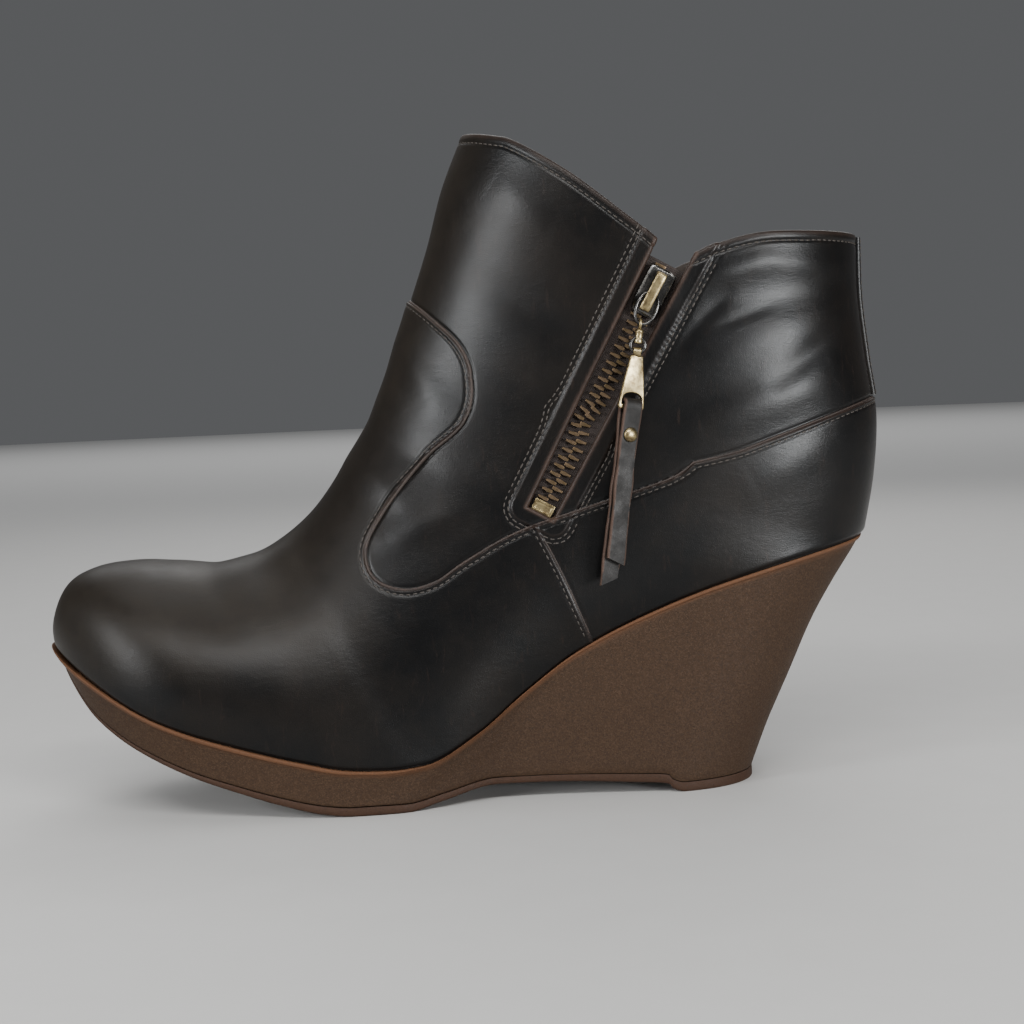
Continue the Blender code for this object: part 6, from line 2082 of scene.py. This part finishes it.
class BOOT_OT_stitches(bpy.types.Operator):
    """Sews every visible seam"""

    bl_idname = "boot.stitches"
    bl_label = "Stitches"

    def execute(self, context):
        materials = finishes(context.scene.boot_colours)
        sizes = context.scene.boot_sizes
        tree = surface_tree("upper_leather")
        sewing = stitch_tree()
        values = {"Pitch": sizes.stitch_pitch, "Stitch Length": sizes.stitch_length,
                  "Thread": sizes.thread, "Rise": 0.55 * sizes.thread, "Material": materials["thread"]}
        panel = seams().panel
        rows = {"panel_stitches": [(*laid_on(tree, shifted(panel, -PANEL_ROW)), True)]}
        side_rows = []
        for side, line in seams().sides:
            where = shifted(line, side * SIDE_ROW)
            keep = panel.distance(where)[0] < -1.2 * MM
            side_rows.append((*laid_on(tree, where[keep]), False))
        rows["side_stitches"] = side_rows
        edge = collar_path(COLLAR_ROW, 1400)
        clear = (from_slot(edge[:, 0], edge[:, 2] - GAP) > 0.8 * MM) | (edge[:, 1] > Y_SHIFT)
        start = int(np.argmin(clear))
        edge = np.roll(edge, -start, axis=0)
        clear = np.roll(clear, -start)
        rows["collar_stitches"] = [(*laid_on(tree, edge[clear]), False)]
        rows["zip_stitches"] = [(*laid_on(tree, slot_row(d)), False) for d in ZIP_ROWS]
        strip_tree = surface_tree("backstay_strip")
        back_rows = []
        for place in STRIP_ROWS:
            line = []
            for v in backstay_rows()[1:-1]:
                points, out = back_row(v, np.array([place - 0.05, place, place + 0.05]))
                line.append(points[1] + out[1] * BACKSTAY * 1.4)
            back_rows.append((*laid_on(strip_tree, np.array(line)), False))
        rows["backstay_stitches"] = back_rows
        for name, paths in rows.items():
            mesh = grown(name, paths, sewing, values)
            show(name, mesh, None, "boot")
        return {"FINISHED"}


class BOOT_OT_sole(bpy.types.Operator):
    """Makes the wedge and the outsole, and finishes the insole"""

    bl_idname = "boot.sole"
    bl_label = "Sole"

    def execute(self, context):
        materials = finishes(context.scene.boot_colours)
        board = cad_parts["insole"]
        mesh = board.data.copy()
        mesh.transform(board.matrix_world)
        mesh.name = "sock_board"
        pieces = (
            (wedge_mesh(150), TOE_TUCK_SOLE, "foam", "wedge_foam", "wedge_midsole"),
            (outsole_mesh(150), TOE_TUCK_SOLE, "rubber", "outsole_rubber", "outsole"),
            (mesh, TOE_TUCK_UPPER, "lining", "insole_lining", "insole"),
        )
        for mesh, tuck, finish, slot, node in pieces:
            tuck_toe(mesh, tuck)
            show(mesh.name, mesh, materials[finish], "boot", (node,))
        return {"FINISHED"}


class BOOT_OT_zip(bpy.types.Operator):
    """Makes the zip's tape, teeth, end stop and slider"""

    bl_idname = "boot.zip"
    bl_label = "Zip"

    def execute(self, context):
        materials = finishes(context.scene.boot_colours)
        show("zip_tape_cloth", tape_mesh(), materials["tape"], "boot", ("zip_tape",))
        tooth = scratch(tooth_mesh())
        values = {"Pitch": TOOTH_PITCH, "Tooth": tooth, "Material": materials["bronze"]}
        mesh = grown("zip_tooth_rows", tooth_rows(), tooth_tree(), values)
        old = tooth.data
        bpy.data.objects.remove(tooth)
        bpy.data.meshes.remove(old)
        show("zip_tooth_rows", mesh, None, "boot", ("zip_teeth",))
        show("zip_end_stop", stop_mesh(), materials["brass"], "boot", ("zip_bottom_stop",))
        show("slider_body", slider_mesh(), materials["dark_metal"], "boot", ("zip_slider",))
        show("slider_bridge_bar", bridge_mesh(), materials["brass"], "boot")
        return {"FINISHED"}


class BOOT_OT_pull(bpy.types.Operator):
    """Makes the link, barrel, ring, tag, strap and rivet of the zip pull"""

    bl_idname = "boot.pull"
    bl_label = "Pull"

    def execute(self, context):
        materials = finishes(context.scene.boot_colours)
        link_frame = lean_frame(bridge_axis(), LINK_LEAN, LINK_OUT)
        knuckle = link_frame @ Vector((0, 0, -LINK_LENGTH + WIRE))
        hang = lean_frame(knuckle, TAG_LEAN, TAG_OUT)
        roll = hang @ Matrix.Translation((0, 0, RING_BOTTOM + ring_sag(TAG_ROLL / 2) / 2))
        turned_frame = roll @ Matrix.Rotation(TAG_TURN, 4, "Z")
        bail = loop_path(LINK_WIDTH - WIRE, 0.0, -LINK_LENGTH + WIRE, LINK_FLAT)
        link = wire_loop("pull_wire_link", bail, WIRE)
        circle = loop_path(RING_WIDTH - WIRE, SWIVEL_HOLE, RING_BOTTOM, 1.0, 40)
        hoop = wire_loop("pull_wire_ring", circle, WIRE)
        pieces = (
            (link, link_frame, "link", "dark_metal", "dark_metal", "pull_link"),
            (swivel_mesh(), hang, "pull", "brass", "antique_brass", "pull_swivel"),
            (hoop, hang, "pull", "dark_metal", "dark_metal", "pull_ring"),
            (tag_mesh(), roll, "pull", "brass", "antique_brass", "pull_tag"),
            (strap_mesh(), turned_frame, "pull", "strap", "strap_leather", "pull_strap"),
            (rivet_mesh(), turned_frame, "pull", "brass", "antique_brass", "pull_rivet"),
        )
        for mesh, place, body, finish, slot, node in pieces:
            mesh.transform(place)
            show(mesh.name, mesh, materials[finish], body, (node,))
        return {"FINISHED"}


class BOOT_PT_parts(bpy.types.Panel):
    """Lists the boot's pieces"""

    bl_idname = "BOOT_PT_parts"
    bl_label = "Wedge ankle boot"
    bl_space_type = "VIEW_3D"
    bl_region_type = "UI"
    bl_category = "Boot"

    def draw(self, context):
        for name in STEPS:
            self.layout.operator("boot." + name)


STEPS = ("stage", "upper", "edges", "stitches", "sole", "zip", "pull")
CLASSES = (BootColours, BootSizes, BOOT_OT_stage, BOOT_OT_upper, BOOT_OT_edges, BOOT_OT_stitches,
           BOOT_OT_sole, BOOT_OT_zip, BOOT_OT_pull, BOOT_PT_parts)


def register():
    for made in CLASSES:
        bpy.utils.register_class(made)
    bpy.types.Scene.boot_colours = PointerProperty(type=BootColours)
    bpy.types.Scene.boot_sizes = PointerProperty(type=BootSizes)


def unregister():
    del bpy.types.Scene.boot_sizes
    del bpy.types.Scene.boot_colours
    for made in reversed(CLASSES):
        bpy.utils.unregister_class(made)


def main():
    register()
    for name in STEPS:
        getattr(bpy.ops.boot, name)()


if __name__ == "__main__":
    main()
